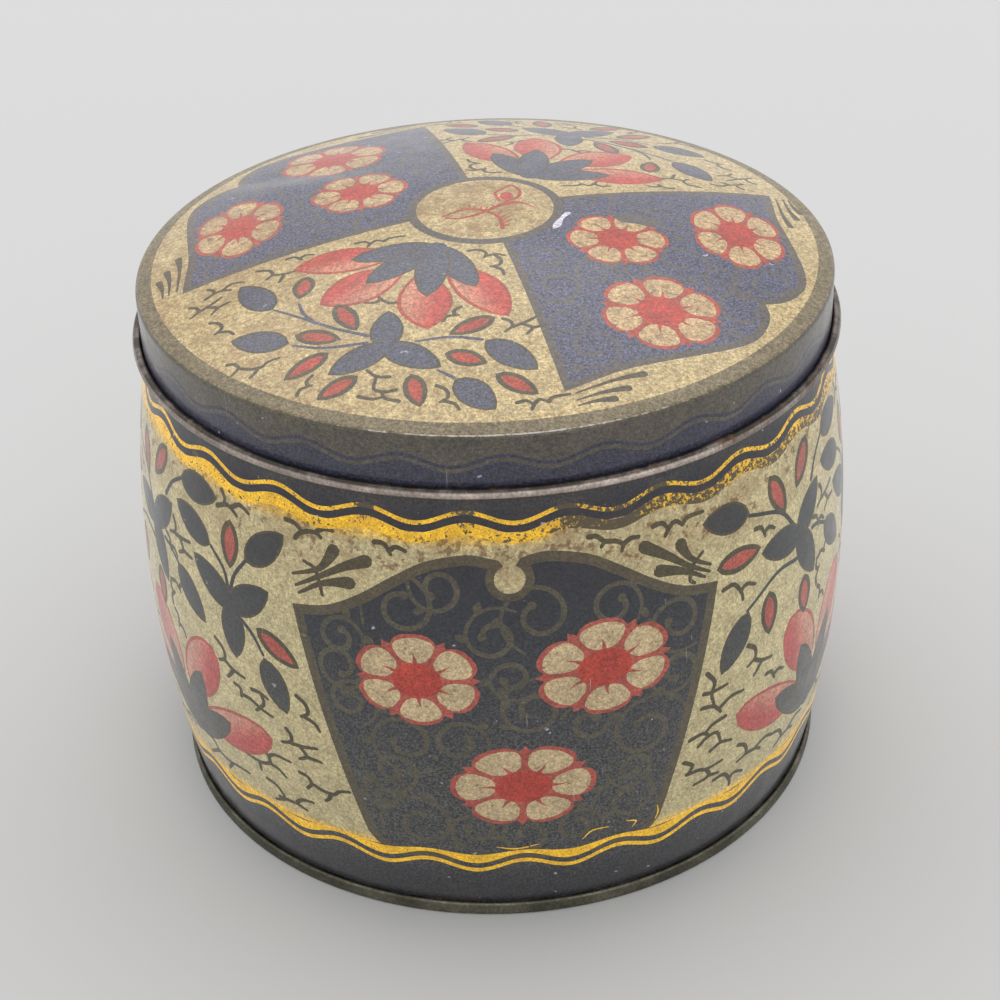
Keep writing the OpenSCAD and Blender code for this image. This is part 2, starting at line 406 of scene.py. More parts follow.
# Strokes of the small twigs, in millimetres about their middle
TWIGS = (
    (((-3.2, 1.0), (-1.2, 0.9), (0.3, -1.2)), ((0, -0.4), (1.4, 0.5), (3.4, -0.2))),
    (((-5, 2), (-2, 2.1), (0, -0.6), (0.4, -2.6)), ((-0.2, -0.3), (1.6, 0.6), (4.2, -0.6))),
    (
        ((-6.3, 5), (-3.9, 3), (-5.3, 1)), ((-5.3, 1), (-2, 0.8), (0, 0), (4.5, 0.2)),
        ((0, 0), (1, -2.5), (-3, -3.2)), ((0.7, -2.3), (3.8, -3.1)),
    ),
    (
        ((-4.9, 4), (-2.5, 2.5), (-1.7, -0.3), (-4.5, -1.3)), ((-1.7, -0.5), (1.7, -1), (3.5, -2.2)),
        ((1.4, -0.7), (4.9, 0.3), (8.1, -1)),
    ),
    (
        ((3.5, 3), (0, 2.5), (-2.1, 0.8)), ((-5.9, 0.8), (-2.5, 1.2), (-0.7, -0.3)),
        ((-3.5, -2), (-1.4, -0.5), (1.4, -0.4), (2.8, -4)), ((0, -5), (2.8, -4), (6, -5)),
    ),
    (
        ((-2.8, 6), (-0.7, 3), (-1.4, 0), (-0.7, -2.8)), ((-3.5, 1), (-1.4, 0.5), (2.8, 0.7)),
        ((-3.9, -2.7), (-0.7, -3.5), (1.4, -6)), ((1.1, -4.7), (4.2, -3.2), (7.7, -3.5)),
    ),
    (
        ((-1.7, 4), (0.4, 3.3), (1.4, 2.5), (3.5, 3.8), (7.7, 3.7)), ((1.4, 0.2), (3.9, -0.3), (5.6, -1.8)),
        ((1.4, 2.5), (1.3, 0.3), (-2.1, -1), (-8.8, -0.7)), ((-2.1, -1), (-2.1, -3.5)),
    ),
    (
        ((-10.5, 2.5), (-7, 2.5), (-5.2, 0.2), (-1.4, -0.5), (2.1, 0.2), (6.3, 0.5)),
        ((-5.6, 0), (-9.8, -3)), ((-0.4, -0.7), (-2.1, -3)),
    ),
    (
        ((-3.5, 4.5), (-1, 2.8), (-0.7, 0.3), (-2.8, -1)), ((-1, 0), (1.8, -1.4), (5.2, -1.9)),
        ((1.8, -1.4), (0.7, -3), (-0.4, -4.3)),
    ),
    (
        ((-2.5, 4.7), (-1.4, 3.2), (-1.8, 1.3), (-4.2, 0.3)), ((-1.7, 1), (1.4, 1.3), (5, 2.1)),
        ((0.7, 0.9), (2.1, -1.2), (0, -2.7)), ((2.1, -1.3), (5.6, -1.5)),
    ),
    (
        ((-5.3, 1), (-3.5, 0.5), (-3.7, -1.7)), ((-3.5, -1), (-0.7, -1), (2.1, -2.2), (5.3, -3)),
        ((0, 2), (2.4, 2.2), (4.5, 1.5)), ((2.7, 2), (3.2, -0.5), (0.7, -3.3)),
    ),
    (
        ((-5.6, 2.6), (-2.8, 1.8), (-1.1, -1.3), (-4.2, -3)), ((-2.8, -1.5), (2.1, -1.1), (4.9, -2)),
        ((2.1, -1), (4.2, 1), (7.3, 1.5)),
    ),
    (
        ((-6.2, 0.6), (-4, 0.8), (-2.6, -0.7)), ((-2.6, -0.7), (-1, 0.5), (0.8, -0.6)),
        ((0.8, -0.6), (2.2, 0.6), (6, 0.7)), ((-2.6, -0.7), (-3.4, -2.1)),
    ),
    (
        ((-4.9, -1.5), (-1.4, -0.1), (1.4, -1.5)), ((-3.5, 2.5), (-2.4, 1), (-2.7, -0.2)),
        ((-0.4, -0.3), (2.1, 1.2), (4.9, 0.2)),
    ),
    (((-2.1, 3.8), (0, 2.3), (0.4, 0), (-1.4, -1.4)), ((-0.7, -1.1), (1.8, -2.1), (2.9, -3.9))),
    (
        ((-6.2, 2.5), (-4.3, 2.1), (-3.4, 0.4), (-4.8, -1.6)), ((1.4, -0.7), (0.7, -2.4), (-0.4, -3.6)),
        ((-3.4, 0.4), (-0.4, -0.7), (2.1, -0.7), (3.6, 0.7), (6.1, 1.4)),
    ),
    (
        ((-5.4, 2.2), (-3.8, 2.1), (-2.3, 0.7), (-2.8, -0.3)),
        ((-2.3, 0.7), (0.5, 0.2), (1.8, -0.8), (1.5, -2.1)), ((1.8, -0.8), (3.6, 0.1), (5.4, 0)),
    ),
    (
        ((-5.8, 1.1), (-3.6, 0.9), (-1.8, -0.3)), ((-3.3, -2.2), (-2.1, -0.8), (0, 0), (1.8, 0), (2.8, -0.7)),
        ((1.5, 0.1), (3.3, 1.3), (5.6, 1.3)),
    ),
)


def twig(centre, kind, turn, size):
    """Small twig of one kind, turned and made smaller about its middle."""
    spin = size * turn_matrix(turn).T
    lines = [np.array(line) @ spin + centre for line in TWIGS[kind]]
    return [Shape(stroke(line, 1.05 * size**1.5, 1.1, 0.8, 1.0, 3), LINE) for line in lines]


def scroll(centre, reach, turn, hand, within, wide=1.2):
    """Tendril that winds from a longer arc into a ring, with two small leaves on its arc."""
    wind = np.linspace(-150, 330, 15)
    r = 1.2 * reach * np.interp(wind, (-150, -60, 40, 200, 330), (2.0, 1.5, 1.08, 0.95, 0.5))
    line = polar(centre, 1, 1, r, turn + hand * wind)
    marks = [stroke(line, wide, 0.5, 1.0, 1.0, 3), oval(line[-1], 0.8 * wide, 0.8 * wide, 10)]
    for at in (2, 4):
        out = (line[at] - centre) / np.linalg.norm(line[at] - centre)
        back = line[at - 1] - line[at]
        marks.append(leaf(line[at], line[at] + 2.4 * out + 0.5 * back, 1.8, 0, 0.6, 1.0, 6))
    return [Shape(mark, SCROLL, None, within) for mark in marks]


def feather(points, width):
    """Feather stroke, fat and round at its first point and thin at its last."""
    return Shape(stroke(points, width, 0.95, 0.22, 0.5), LINE)


def strokes(lines, ink, *widths, scale=(1, 1), shift=(0, 0)):
    """Brush strokes of one ink and kind."""
    return [Shape(stroke(np.array(line) * scale + shift, *widths), ink) for line in lines]


def leaves(draw, ends, *size, scale=(1, 1)):
    """Leaves of one kind, drawn from the base and the tip of each."""
    return [shape for pair in ends for shape in draw(*(np.array(pair) * scale), *size)]


def twigs(rows, size=1.0, scale=(1, 1)):
    """Small twigs, from the place, kind and turn of each."""
    shapes = []
    for x, y, kind, turn in rows:
        shapes += twig(np.multiply(scale, (x, y)), kind, turn, size)
    return shapes


def band(x, low, high, ink, fade=None):
    """Strip between a lower and an upper edge."""
    lower = np.column_stack((x, low + 0 * x))
    upper = np.column_stack((x, high + 0 * x))
    return Shape(np.vstack((lower, upper[::-1])), ink, fade)


# The body's print, on the wall rolled flat: across in millimetres at the belly, up in millimetres

# Half outline of a dark panel, from the middle of its top to its foot, in degrees and millimetres
PANEL_TOP = ((0, 94.0), (2.2, 94.9), (6, 95.8), (12, 94.0), (17, 90.0), (22, 85.2), (27, 81.4), (32.8, 79.5))
PANEL_FOOT = ((23.4, 23.0), (22.2, 20.4), (20.0, 17.2))
PANEL_FRAME = 2.2

# Pale drop at the middle of a dark panel's top: place, half sizes of its ring and of its eye
DROP, DROP_RING, DROP_EYE = (0.4, 90.4), (5.0, 4.8), (3.2, 3.1)

# Flowers of a dark panel: place in degrees and millimetres, half width, half height, turn
PANEL_FLOWERS = ((-13.5, 67.0, 13.4, 11.0, 93), (13.8, 67.8, 15.0, 11.4, 92), (1.4, 39.6, 15.4, 11.5, 178))

# Tendrils of a dark panel: place, reach in millimetres, turn, hand
PANEL_SCROLLS = (
    (-10, 88, 3.2, 250, 1), (-15, 84, 4.2, 60, -1), (-2.5, 77.5, 3.2, 200, 1), (4.5, 82.5, 4.0, 100, -1),
    (15.5, 82, 3.2, 60, 1), (25.4, 74.5, 3.6, 150, -1), (-25.2, 75, 2.8, 90, 1), (-25.4, 67.6, 3.3, 260, -1),
    (-24, 60, 3.0, 80, 1), (0, 68, 2.6, 170, -1), (3.2, 59.4, 3.6, 230, 1), (25.4, 62, 3.2, 280, 1),
    (-16, 51.6, 4.2, 170, -1), (-7.8, 52.2, 3.4, 60, 1), (19.8, 49.4, 4.4, 160, 1), (11.5, 54.5, 2.8, 10, -1),
    (-17.6, 42.6, 3.4, 300, 1), (-14, 28.4, 4.4, 60, -1), (-20, 34.5, 2.4, 200, 1), (1.8, 24.6, 3.2, 200, 1),
    (-6, 27.4, 3.0, 140, -1), (18, 31.4, 4.0, 60, -1), (9.4, 26.4, 2.8, 100, 1), (18.4, 39.6, 2.6, 330, 1),
)

# Gold left on the ends of some tendrils at a dark panel's foot
PANEL_GILT = (
    ((-3, 21.8), (0, 21), (3.6, 22)), ((10.4, 21.6), (12, 23.8), (14.6, 23.8)),
    ((17.6, 24.2), (19.2, 23.4), (18.6, 21.8)), ((22.6, 22), (23, 24), (22.8, 26)),
)

# Feather strokes beside a dark panel's top corners
PANEL_FEATHERS = (
    ((-25.7, 93.8), (-27, 90.8), (-28.6, 88.7), (-32.6, 86.4)),
    ((-20.6, 92.8), (-24, 90.8), (-28.2, 87.3), (-32.1, 84)),
    ((-23.2, 87.4), (-25.5, 86.9), (-28.2, 85.6), (-31.6, 82.4)),
    ((20.6, 92.7), (24.2, 89.4), (27.7, 85.6), (31.4, 82.4)),
    ((26.6, 90.8), (27.3, 88.7), (28.7, 86.4), (31.6, 83.9)),
    ((22.8, 86.6), (25.7, 85.4), (28.1, 83.8), (30.5, 81.6)),
)
PANEL_TICKS = (
    ((-30.6, 89.9), (-28.9, 89), (-28.2, 86.8), (-27.6, 83.4)),
    ((30.3, 87.4), (28.9, 85.9), (28.2, 84.6), (27.8, 82.3), (28.6, 81.2)),
)
PANEL_TWIGS = ((-29.8, 96.6, 17, 0), (-17, 96.2, 0, 0), (16, 95.2, 16, 0), (26.6, 95.6, 12, -3))

# Pale panel: places in degrees from its middle and millimetres of height
PALE_DARK_LEAVES = (
    ((18.2, 84.8), (25.8, 94.2)), ((10.5, 84.1), (0.7, 88.7)), ((1.8, 94.5), (12, 95.5)),
    ((21.3, 63.3), (24.8, 50.5)), ((0.8, 73.4), (8.4, 63.4)), ((-20, 90.8), (-29.4, 93.2)),
    ((-21.2, 68.3), (-26.8, 55.9)),
)
PALE_RED_LEAVES = (
    ((15.0, 92.6), (15.0, 81.3)), ((20.1, 70), (27.9, 63.9)), ((-3.4, 98), (-8.2, 88.6)),
    ((-14.8, 95.8), (-11.6, 85.3)), ((-27.4, 81.9), (-18.0, 81.7)), ((-16.5, 70), (-16.5, 59)),
    ((-6.8, 66.7), (-6.5, 56.4)),
)
PALE_STEMS = (
    ((14.6, 76.0), (13.6, 80.4), (10.7, 84.0)), ((15.0, 76.0), (16.0, 80.4), (18.3, 84.8)),
    ((17.2, 70.3), (19.4, 67.8), (21.2, 63.9)), ((-9.5, 80.8), (-13, 86.4), (-20.2, 90.2)),
    ((-3.2, 87.2), (-1.0, 91.4), (2.2, 94.5)), ((-9.1, 72.4), (-14.6, 73.0), (-21.5, 68.6)),
    ((-3.8, 76.0), (-1.6, 75.4), (1.2, 73.2)),
)
PALE_TREFOILS = (
    ((15.0, 72.3), ((6.0, 79.6), (22.9, 80.0), (15.3, 59.4))),
    ((-8.0, 77.8), ((-18.1, 80.0), (-0.8, 86.4), (-3.4, 64.8))),
)
PALE_TWIGS = (
    (15.5, 95.6, 13, 0), (1.4, 79, 9, 0), (-1.4, 76, 0, -20), (-2, 63.6, 0, 100), (13, 57, 8, 0),
    (18, 51, 10, 0), (28.4, 52.8, 14, 0), (26, 41.6, 9, 0), (18.5, 33, 6, 0), (30, 32.2, 15, 0),
    (9, 25, 7, 0), (22, 25, 11, 0),
    (-27.5, 52, 5, 0), (-19.2, 55, 8, -5), (-14.6, 47.2, 0, -8), (-28, 41, 4, 0), (-28.5, 31, 2, 0),
    (-18.5, 29, 3, 0), (-23, 24.2, 1, 0), (-22.7, 74.6, 1, 0), (-17, 84.8, 0, -12), (-0.5, 56.5, 0, -40),
    (0.6, 67, 0, 20), (-8.5, 25, 3, 10), (7.6, 101, 0, 0),
)
PALE_LOTUS, PALE_LOTUS_AXIS, PALE_LOTUS_SIZE, PALE_LOTUS_SPREAD = (-1.2, 30.0), 89, 1.2, 69

# Wavy borders: height of the middle of the fine wave, its swing, and where its crests stand in degrees
TOP_WAVE, TOP_SWING, TOP_CREST = 103.3, 1.2, 9.2
FOOT_WAVE, FOOT_SWING, FOOT_CREST = 15.8, 1.5, 1.2
FINE_TOP, FINE_FOOT, TOP_GAP, FOOT_GAP = 0.9, 1.2, 1.6, 1.6
BROAD_TOP, BROAD_FOOT, GLOW_WIDE = 2.4, 19.9, 2.4
GLOW_MOST, GLOW_STEPS = 0.75, (1.0, 0.6, 0.3)


def offset(points, distance):
    """Closed outline moved inwards by a distance; the points run against the clock."""
    ahead = np.roll(points, -1, 0) - points
    ahead /= np.linalg.norm(ahead, axis=1)[:, None]
    behind = np.roll(ahead, 1, 0)
    lean = np.column_stack((-(ahead + behind)[:, 1], (ahead + behind)[:, 0]))
    lean /= np.maximum((lean**2).sum(1), 0.6)[:, None] / 2
    return points + distance * lean


def dark_panel(tin):
    """Navy panel with a curved top, its frame, tendrils and three flowers."""
    across = np.array((tin.per_degree, 1.0))
    right = np.vstack((soft(PANEL_TOP, 4), PANEL_FOOT)) * across
    left = right[:0:-1] * (-1, 1)
    outline = np.vstack((right, left))[::-1]
    ground = offset(outline, PANEL_FRAME)
    shapes = [Shape(outline, BORDER), Shape(ground, NAVY)]
    for u, z, reach, turn, hand in PANEL_SCROLLS:
        shapes += scroll(across * (u, z), reach, turn, hand, ground)
    shapes += strokes(PANEL_GILT, GOLD, 0.45, 0.4, 0.4, scale=across)
    for u, z, wide, high, turn in PANEL_FLOWERS:
        shapes += rosette(across * (u, z), wide, high, turn)
    drop = np.array(DROP) * across
    shapes.append(Shape(oval(drop, *DROP_RING), BORDER))
    shapes.append(Shape(oval(drop, *DROP_EYE), CREAM))
    shapes.append(Shape(stroke((drop + (0, 1.6), drop + (0, 4.4)), 2.6, 1.2, 1.8), CREAM))
    shapes += [feather(np.array(line) * across, 3.0) for line in PANEL_FEATHERS]
    shapes += strokes(PANEL_TICKS, LINE, 1.0, 0.8, 0.8, scale=across)
    return shapes + twigs(PANEL_TWIGS, scale=across)


def pale_panel(tin):
    """Cream panel's lotus, leaves, stems and twigs, about the panel's middle."""
    across = np.array((tin.per_degree, 1.0))
    shapes = twigs(PALE_TWIGS, scale=across)
    shapes += lotus(across * PALE_LOTUS, PALE_LOTUS_AXIS, PALE_LOTUS_SIZE, PALE_LOTUS_SPREAD)
    shapes += strokes(PALE_STEMS, LEAF, 0.95, 1.2, 0.9, scale=across)
    shapes += leaves(dark_leaf, PALE_DARK_LEAVES, scale=across)
    shapes += leaves(red_leaf, PALE_RED_LEAVES, scale=across)
    for centre, tips in PALE_TREFOILS:
        shapes += trefoil(across * centre, [across * tip for tip in tips], 7.4)
    return shapes


def body_print(tin):
    """Shapes on one third of the body, in the order they are printed."""
    half = HALF_SECTOR * tin.per_degree
    x = np.linspace(-half - 3, half + 3, 200)
    turn = 2 * np.pi / (WAVE_TURN * tin.per_degree)
    top = TOP_SWING * np.cos(turn * (x - TOP_CREST * tin.per_degree))
    foot = FOOT_SWING * np.cos(turn * (x - FOOT_CREST * tin.per_degree))
    thin, thick = FINE_TOP / 2, FINE_FOOT / 2
    high = TOP_WAVE - thin - TOP_GAP
    low = FOOT_WAVE + thick + FOOT_GAP

    def foot_glow(p):
        return GLOW_MOST * np.clip((BROAD_FOOT + GLOW_WIDE - p[:, 1]) / GLOW_WIDE, 0, 1) ** 1.5

    def top_glow(p):
        return GLOW_MOST * np.clip((p[:, 1] - high + BROAD_TOP + GLOW_WIDE) / GLOW_WIDE, 0, 1) ** 1.5

    shapes = [band(x, BROAD_FOOT - 0.3, high - 1, CREAM)]
    for step in GLOW_STEPS:
        shapes.append(band(x, BROAD_FOOT - 0.3, BROAD_FOOT + step * GLOW_WIDE, GLOW, foot_glow))
        shapes.append(band(x, high - BROAD_TOP - step * GLOW_WIDE, high - 1, GLOW, top_glow))
    for side in (-1, 1):
        shapes += [shape.moved((side * half, 0)) for shape in pale_panel(tin)]
    shapes += dark_panel(tin)
    shapes.append(band(x, high - BROAD_TOP + 0.8 * top, high + top, GOLD))
    shapes.append(band(x, TOP_WAVE - thin + top, TOP_WAVE + thin + top, GOLD))
    shapes.append(band(x, low + foot, BROAD_FOOT + 0.45 * foot, GOLD))
    shapes.append(band(x, FOOT_WAVE - thick + foot, FOOT_WAVE + thick + foot, GOLD))
    return shapes


# The lid's print, seen from above with the front panel below, in millimetres

LID_TURN = -1.7
LID_MIDDLE = (0.5, 1.0)
MEDALLION_R = 14.7
MEDALLION_RING = 2.1
BAND_R = 71.5

# Half outline of a dark panel's outer edge: degrees from its middle, radius
LID_EDGE = (
    (0, 65.3), (2.6, 67.6), (6, 69.2), (10.5, 69.9), (15, 68.9), (22, 66.4), (29, 64.6), (35.5, 63.9),
    (41, 64.7), (47.3, 66.4),
)
LID_PANEL = -30.5
LID_FRAME = 1.7
LID_FLOWERS = ((28, -12.7, 10.8, 11, 6), (54, -4.8, 10.3, 14.6, 33), (35, -38.8, 12.6, 12, 23))
LID_SCROLLS = (
    (22, 5, 3.4, 40, 1), (33, 8, 3.4, 200, -1), (43, 14, 3.4, 100, 1), (57, 13, 3.2, 260, -1),
    (41, -20, 4.2, 300, 1), (58, -24, 3.8, 120, -1), (52, -35, 4.2, 30, 1), (12, -22, 3.2, 150, -1),
    (14.5, -32, 3.6, 240, 1),
    (16, -43, 3.2, 60, -1), (21, -51, 3.4, 330, 1), (47, -45, 3.0, 190, 1), (64, -14, 2.6, 20, 1),
    (31, -25, 2.4, 80, -1), (40, -4, 2.8, 10, 1), (49, -25, 2.8, 210, -1), (22, -27, 2.6, 120, 1),
)
LID_LOTUS = ((-10.6, -17.4), -118.5, 1.04, 60, 0.72)
LID_TREFOIL = ((-19.8, -49.0), ((-19.3, -37.9), (-30.9, -55.3), (-8.8, -56.4)))
LID_DARK_LEAVES = (
    ((-42.9, -32), (-50.5, -20.9)), ((-39, -44.1), (-51.1, -39.7)), ((-0.3, -49.3), (9.8, -58)),
    ((-6.3, -59.9), (1.4, -68.4)),
)
LID_RED_LEAVES = (
    ((-36.4, -21.8), (-37.6, -29.8)), ((-30, -33.7), (-25.5, -43.2)), ((-38, -41.9), (-28.6, -45.3)),
    ((-30.9, -48.8), (-39.6, -54.9)), ((-25, -56.7), (-32.9, -61.8)), ((-14.7, -57.6), (-13, -66.7)),
    ((1.9, -42.2), (-7.3, -47)), ((-8.2, -52.5), (0.1, -55.9)), ((1.5, -58.9), (9.6, -64.6)),
)
LID_STEMS = (
    ((-42.6, -32.2), (-36, -37.2), (-30, -41.6), (-23.3, -45.3)), ((-37.6, -31.5), (-36.6, -35), (-34, -39)),
    ((-38.2, -45), (-32, -47.2), (-23.5, -47.4)), ((-13.8, -48.4), (-7, -47.8), (-0.9, -49)),
    ((-9.5, -57.2), (-6.5, -59.5)),
)
LID_TWIGS = (
    (-43.2, -18.6, 8, 20), (-54, -20.4, 13, 15), (-57, -27, 9, 30), (-53.6, -34.8, 14, 10),
    (-21.5, -11.2, 12, 5), (-38.4, -13.6, 0, 10), (-21, -34, 1, 190), (0.2, -19.6, 14, 40),
    (2.8, -24, 14, -20), (-6.4, -40.8, 0, 60), (7, -45.6, 9, 25), (-46, -49.2, 15, 0),
    (-35, -57.4, 0, 70), (-21, -61.6, 4, 150), (-8, -64.6, 14, 0), (10.6, -66.2, 12, 12),
)
# Feather strokes in a dark panel's outer corner: degrees from its middle and radius, from the fat end
LID_FEATHERS = (
    ((33, 66.2), (38, 65.8), (45.6, 67.2)), ((37, 68.6), (41, 68.2), (45.8, 69)),
    ((40, 70.4), (43, 70), (46, 70.4)),
)
# Shallow crease in the lid: place, turn, half length, half width and depth
CREASE, CREASE_TURN, CREASE_LONG, CREASE_WIDE, CREASE_DEEP = (-39.5, 29.8), -13.5, 15, 7, 0.8

# Damage to the lid's print: outline and what shows there
BARE_CHIP = ((14.6, -9.6), (16.2, -8.4), (17.2, -4.6), (18.8, -2.2), (17.6, -1.8), (16, -5), (14.8, -7.4))
WORN_PATCH = ((27.6, -2.6), (30.4, -0.8), (34.6, -1.4), (38.2, -3.8), (36, -6.2), (32.4, -5.6), (29.2, -5))
LID_CHIPS = ((BARE_CHIP, CHIP), (WORN_PATCH, SCROLL))
# The medallion's sprig: curved stems, barbs from and to, and the bud
SPRIG_STEMS = (
    ((-9, -3.8), (-6.6, -2.1), (-3.9, -0.8), (-1.5, -1.2), (0.3, -2.1)),
    ((0.3, -2.1), (2, -3.8), (3.2, -6.1), (3.6, -10.3)),
    ((-8.4, -4.5), (-6, -5.1), (-3.1, -4.3), (-1.1, -3.1), (0.3, -2.1)),
)
SPRIG_LEAF = ((0.3, -2.1), (2.5, 0), (4.1, 1.1), (6.1, 2), (8.3, 1.5), (10.6, -0.5))
SPRIG_BARBS = (
    ((-4.6, -1), (-5.4, 0.6)), ((-3.1, -0.7), (-3.4, 1.2)), ((-2.1, -1), (-2.3, 0.8)),
    ((-0.9, -1.1), (-0.7, 0.6)), ((0.1, -1.4), (0.8, 0.4)), ((1.3, -1.1), (2.0, 0.8)),
    ((2.6, -4.3), (3.8, -1.7)), ((3.2, -5.6), (4.8, -3.5)), ((3.4, -6.9), (5.2, -4.8)),
    ((3.6, -8.2), (5.5, -6.4)), ((3.7, -9.3), (5.3, -8.1)),
)
SPRIG_BUD = (
    (3.5, 2.3), (2.6, 5), (2.4, 7.3), (4.1, 9.5), (5.7, 11.2), (6.9, 9.9), (7.7, 7.6), (7.2, 4.8),
    (5.7, 3.4), (3.5, 2.3),
)


def lid_half():
    """One dark and one pale panel of the lid; the other two are these turned by half a turn."""
    edge = soft(LID_EDGE, 4)
    outer = np.vstack((edge[:0:-1] * (-1, 1), edge))
    outer = polar(LID_MIDDLE, 1, 1, outer[:, 1], LID_PANEL + outer[:, 0])
    panel = np.vstack((LID_MIDDLE, outer))
    ground = offset(panel, LID_FRAME)
    shapes = [Shape(panel, BORDER), Shape(ground, NAVY)]
    for x, y, reach, turn, hand in LID_SCROLLS:
        shapes += scroll(np.array((x, y)), reach, turn, hand, ground, 0.85)
    for x, y, wide, high, turn in LID_FLOWERS:
        shapes += rosette((x, y), wide, high, turn)
    for line in np.array(LID_FEATHERS):
        for hand in (-1, 1):
            shapes.append(feather(polar(LID_MIDDLE, 1, 1, line[:, 1], LID_PANEL + hand * line[:, 0]), 1.7))
    shapes += twigs(LID_TWIGS, 0.85)
    shapes += lotus(*LID_LOTUS)
    shapes += strokes(LID_STEMS, LEAF, 0.8, 0.7, 1.1)
    shapes += leaves(dark_leaf, LID_DARK_LEAVES, 6.8)
    shapes += leaves(red_leaf, LID_RED_LEAVES, 4.7)
    return shapes + trefoil(*LID_TREFOIL, 6.8)


def lid_print(tin):
    """Shapes on the lid's dome, in the order they are printed."""
    middle = np.array(LID_MIDDLE)
    rim = oval((0, 0), tin.dome_out + 3, tin.dome_out + 3, 120)
    shapes = [Shape(rim, BAND), Shape(oval((0, 0), BAND_R, BAND_R, 120), CREAM)]
    half = lid_half()
    shapes += half + [shape.turned(180).moved(2 * middle) for shape in half]
    ring = MEDALLION_R + MEDALLION_RING
    shapes.append(Shape(oval(middle, ring, ring, 60), BORDER))
    shapes.append(Shape(oval(middle, MEDALLION_R, MEDALLION_R, 60), CREAM))
    shapes += strokes(SPRIG_STEMS, RED, 0.8, 0.8, 1.2, shift=middle)
    shapes += strokes(SPRIG_BARBS, RED, 0.4, 1.4, 0.6, shift=middle)
    shapes += strokes((SPRIG_LEAF,), RED, 0.9, 0.9, 0.3, 1.8, shift=middle)
    shapes += strokes((SPRIG_BUD,), RED, 0.8, shift=middle)
    shapes.append(Shape(oval(middle + (4.8, 5.4), 1.5, 2.1, 16), PETAL))
    shapes += [Shape(soft((*chip, chip[0]))[:-1], ink) for chip, ink in LID_CHIPS]
    return [shape.turned(LID_TURN) for shape in shapes]


# Olive edge on the lid's skirt: its depth below the corner, its swing, and the line below it from and to
SKIRT_EDGE, SKIRT_SWING, SKIRT_LINE = 4.2, 1.2, (1.7, 0.8)


def skirt_print(tin):
    """Shapes on one wave of the lid's skirt: across in millimetres, up in millimetres."""
    half = WAVE_TURN / 2 * math.radians(tin.skirt_r)
    x = np.linspace(-half - 1, half + 1, 50)
    edge = tin.corner_z - SKIRT_EDGE + SKIRT_SWING * np.cos(np.pi * x / half)
    low, high = SKIRT_LINE
    return [band(x, edge, tin.corner_z + 1, SCROLL), band(x, edge - low, edge - high, SCROLL)]


# Meshes


def inside(points, outline):
    """Which points lie within a closed outline."""
    found = np.zeros(len(points), bool)
    near = np.flatnonzero(((points > outline.min(0)) & (points < outline.max(0))).all(1))
    x, y = points[near, 0, None], points[near, 1, None]
    x0, y0 = outline.T
    x1, y1 = np.roll(outline, -1, 0).T
    spans = (y0 > y) != (y1 > y)
    with np.errstate(divide="ignore", invalid="ignore"):
        crossing = x0 + (y - y0) * (x1 - x0) / (y1 - y0)
    found[near] = (spans & (x < crossing)).sum(1) % 2 == 1
    return found


class Patch:
    """Part of a mesh: points, faces, and the ink of each face."""

    def __init__(self, points, faces, ink, fade=None, bare=False):
        self.points = points
        self.faces = faces
        self.ink = np.broadcast_to(ink, len(faces))
        self.fade = np.zeros(len(points)) if fade is None else fade
        self.bare = np.full(len(faces), bare)


def printed(shapes, outline, guides, lines, ground, lift):
    """Printed patch: every shape's outline becomes edges, and a face takes the last shape's ink.
    lift carries the flat points to their place on the tin."""
    outline = np.asarray(outline, float)
    points, edges = [], []
    for loop in [outline] + [shape.points for shape in shapes]:
        first = len(points)
        points.extend(loop)
        edges.extend((first + i, first + (i + 1) % len(loop)) for i in range(len(loop)))
    for line in lines:
        first = len(points)
        points.extend(line)
        edges.extend((first + i, first + i + 1) for i in range(len(line) - 1))
    points.extend(guides)
    result = delaunay_2d_cdt([Vector(p) for p in points], edges, [], 0, PRINT_WELD, False)
    flat = np.array([v[:] for v in result[0]])
    faces = np.array(result[2])
    faces = faces[inside(flat[faces].mean(1), outline)]
    middle = flat[faces].mean(1)
    ink = np.full(len(faces), ground)
    fade = np.zeros(len(flat))
    for shape in shapes:
        covered = inside(middle, shape.points)
        if shape.within is not None:
            covered &= inside(middle, shape.within)
        ink[covered] = shape.ink
        if shape.fade is not None:
            corners = np.unique(faces[covered])
            fade[corners] = shape.fade(flat[corners])
    used, faces = np.unique(faces, return_inverse=True)
    faces = faces.reshape(-1, 3)
    return Patch(lift(flat[used]), faces.tolist(), ink, fade[used])


def around(r, degrees, z):
    """Points in metres from radius, degrees to the right of the front, and height in millimetres."""
    a = np.radians(degrees)
    return np.stack((r * np.sin(a), -r * np.cos(a), z + 0 * a), axis=-1) * MM


def turned(profile, angles, ink=NAVY, bare=True):
    """Strip of quads: a profile of radius and height carried through the given angles."""
    points = around(profile[:, 0, None], np.asarray(angles)[None], profile[:, 1, None]).reshape(-1, 3)
    wide = len(angles)
    faces = []
    for row in range(len(profile) - 1):
        for column in range(wide - 1):
            at = row * wide + column
            faces.append((at, at + 1, at + wide + 1, at + wide))
    return Patch(points, faces, ink, bare=bare)


# Attributes that carry a patch's marks on its faces or points
PATCH_MARKS = (("ink", "FLOAT", "FACE"), ("fade", "FLOAT", "POINT"), ("bare", "BOOLEAN", "FACE"))


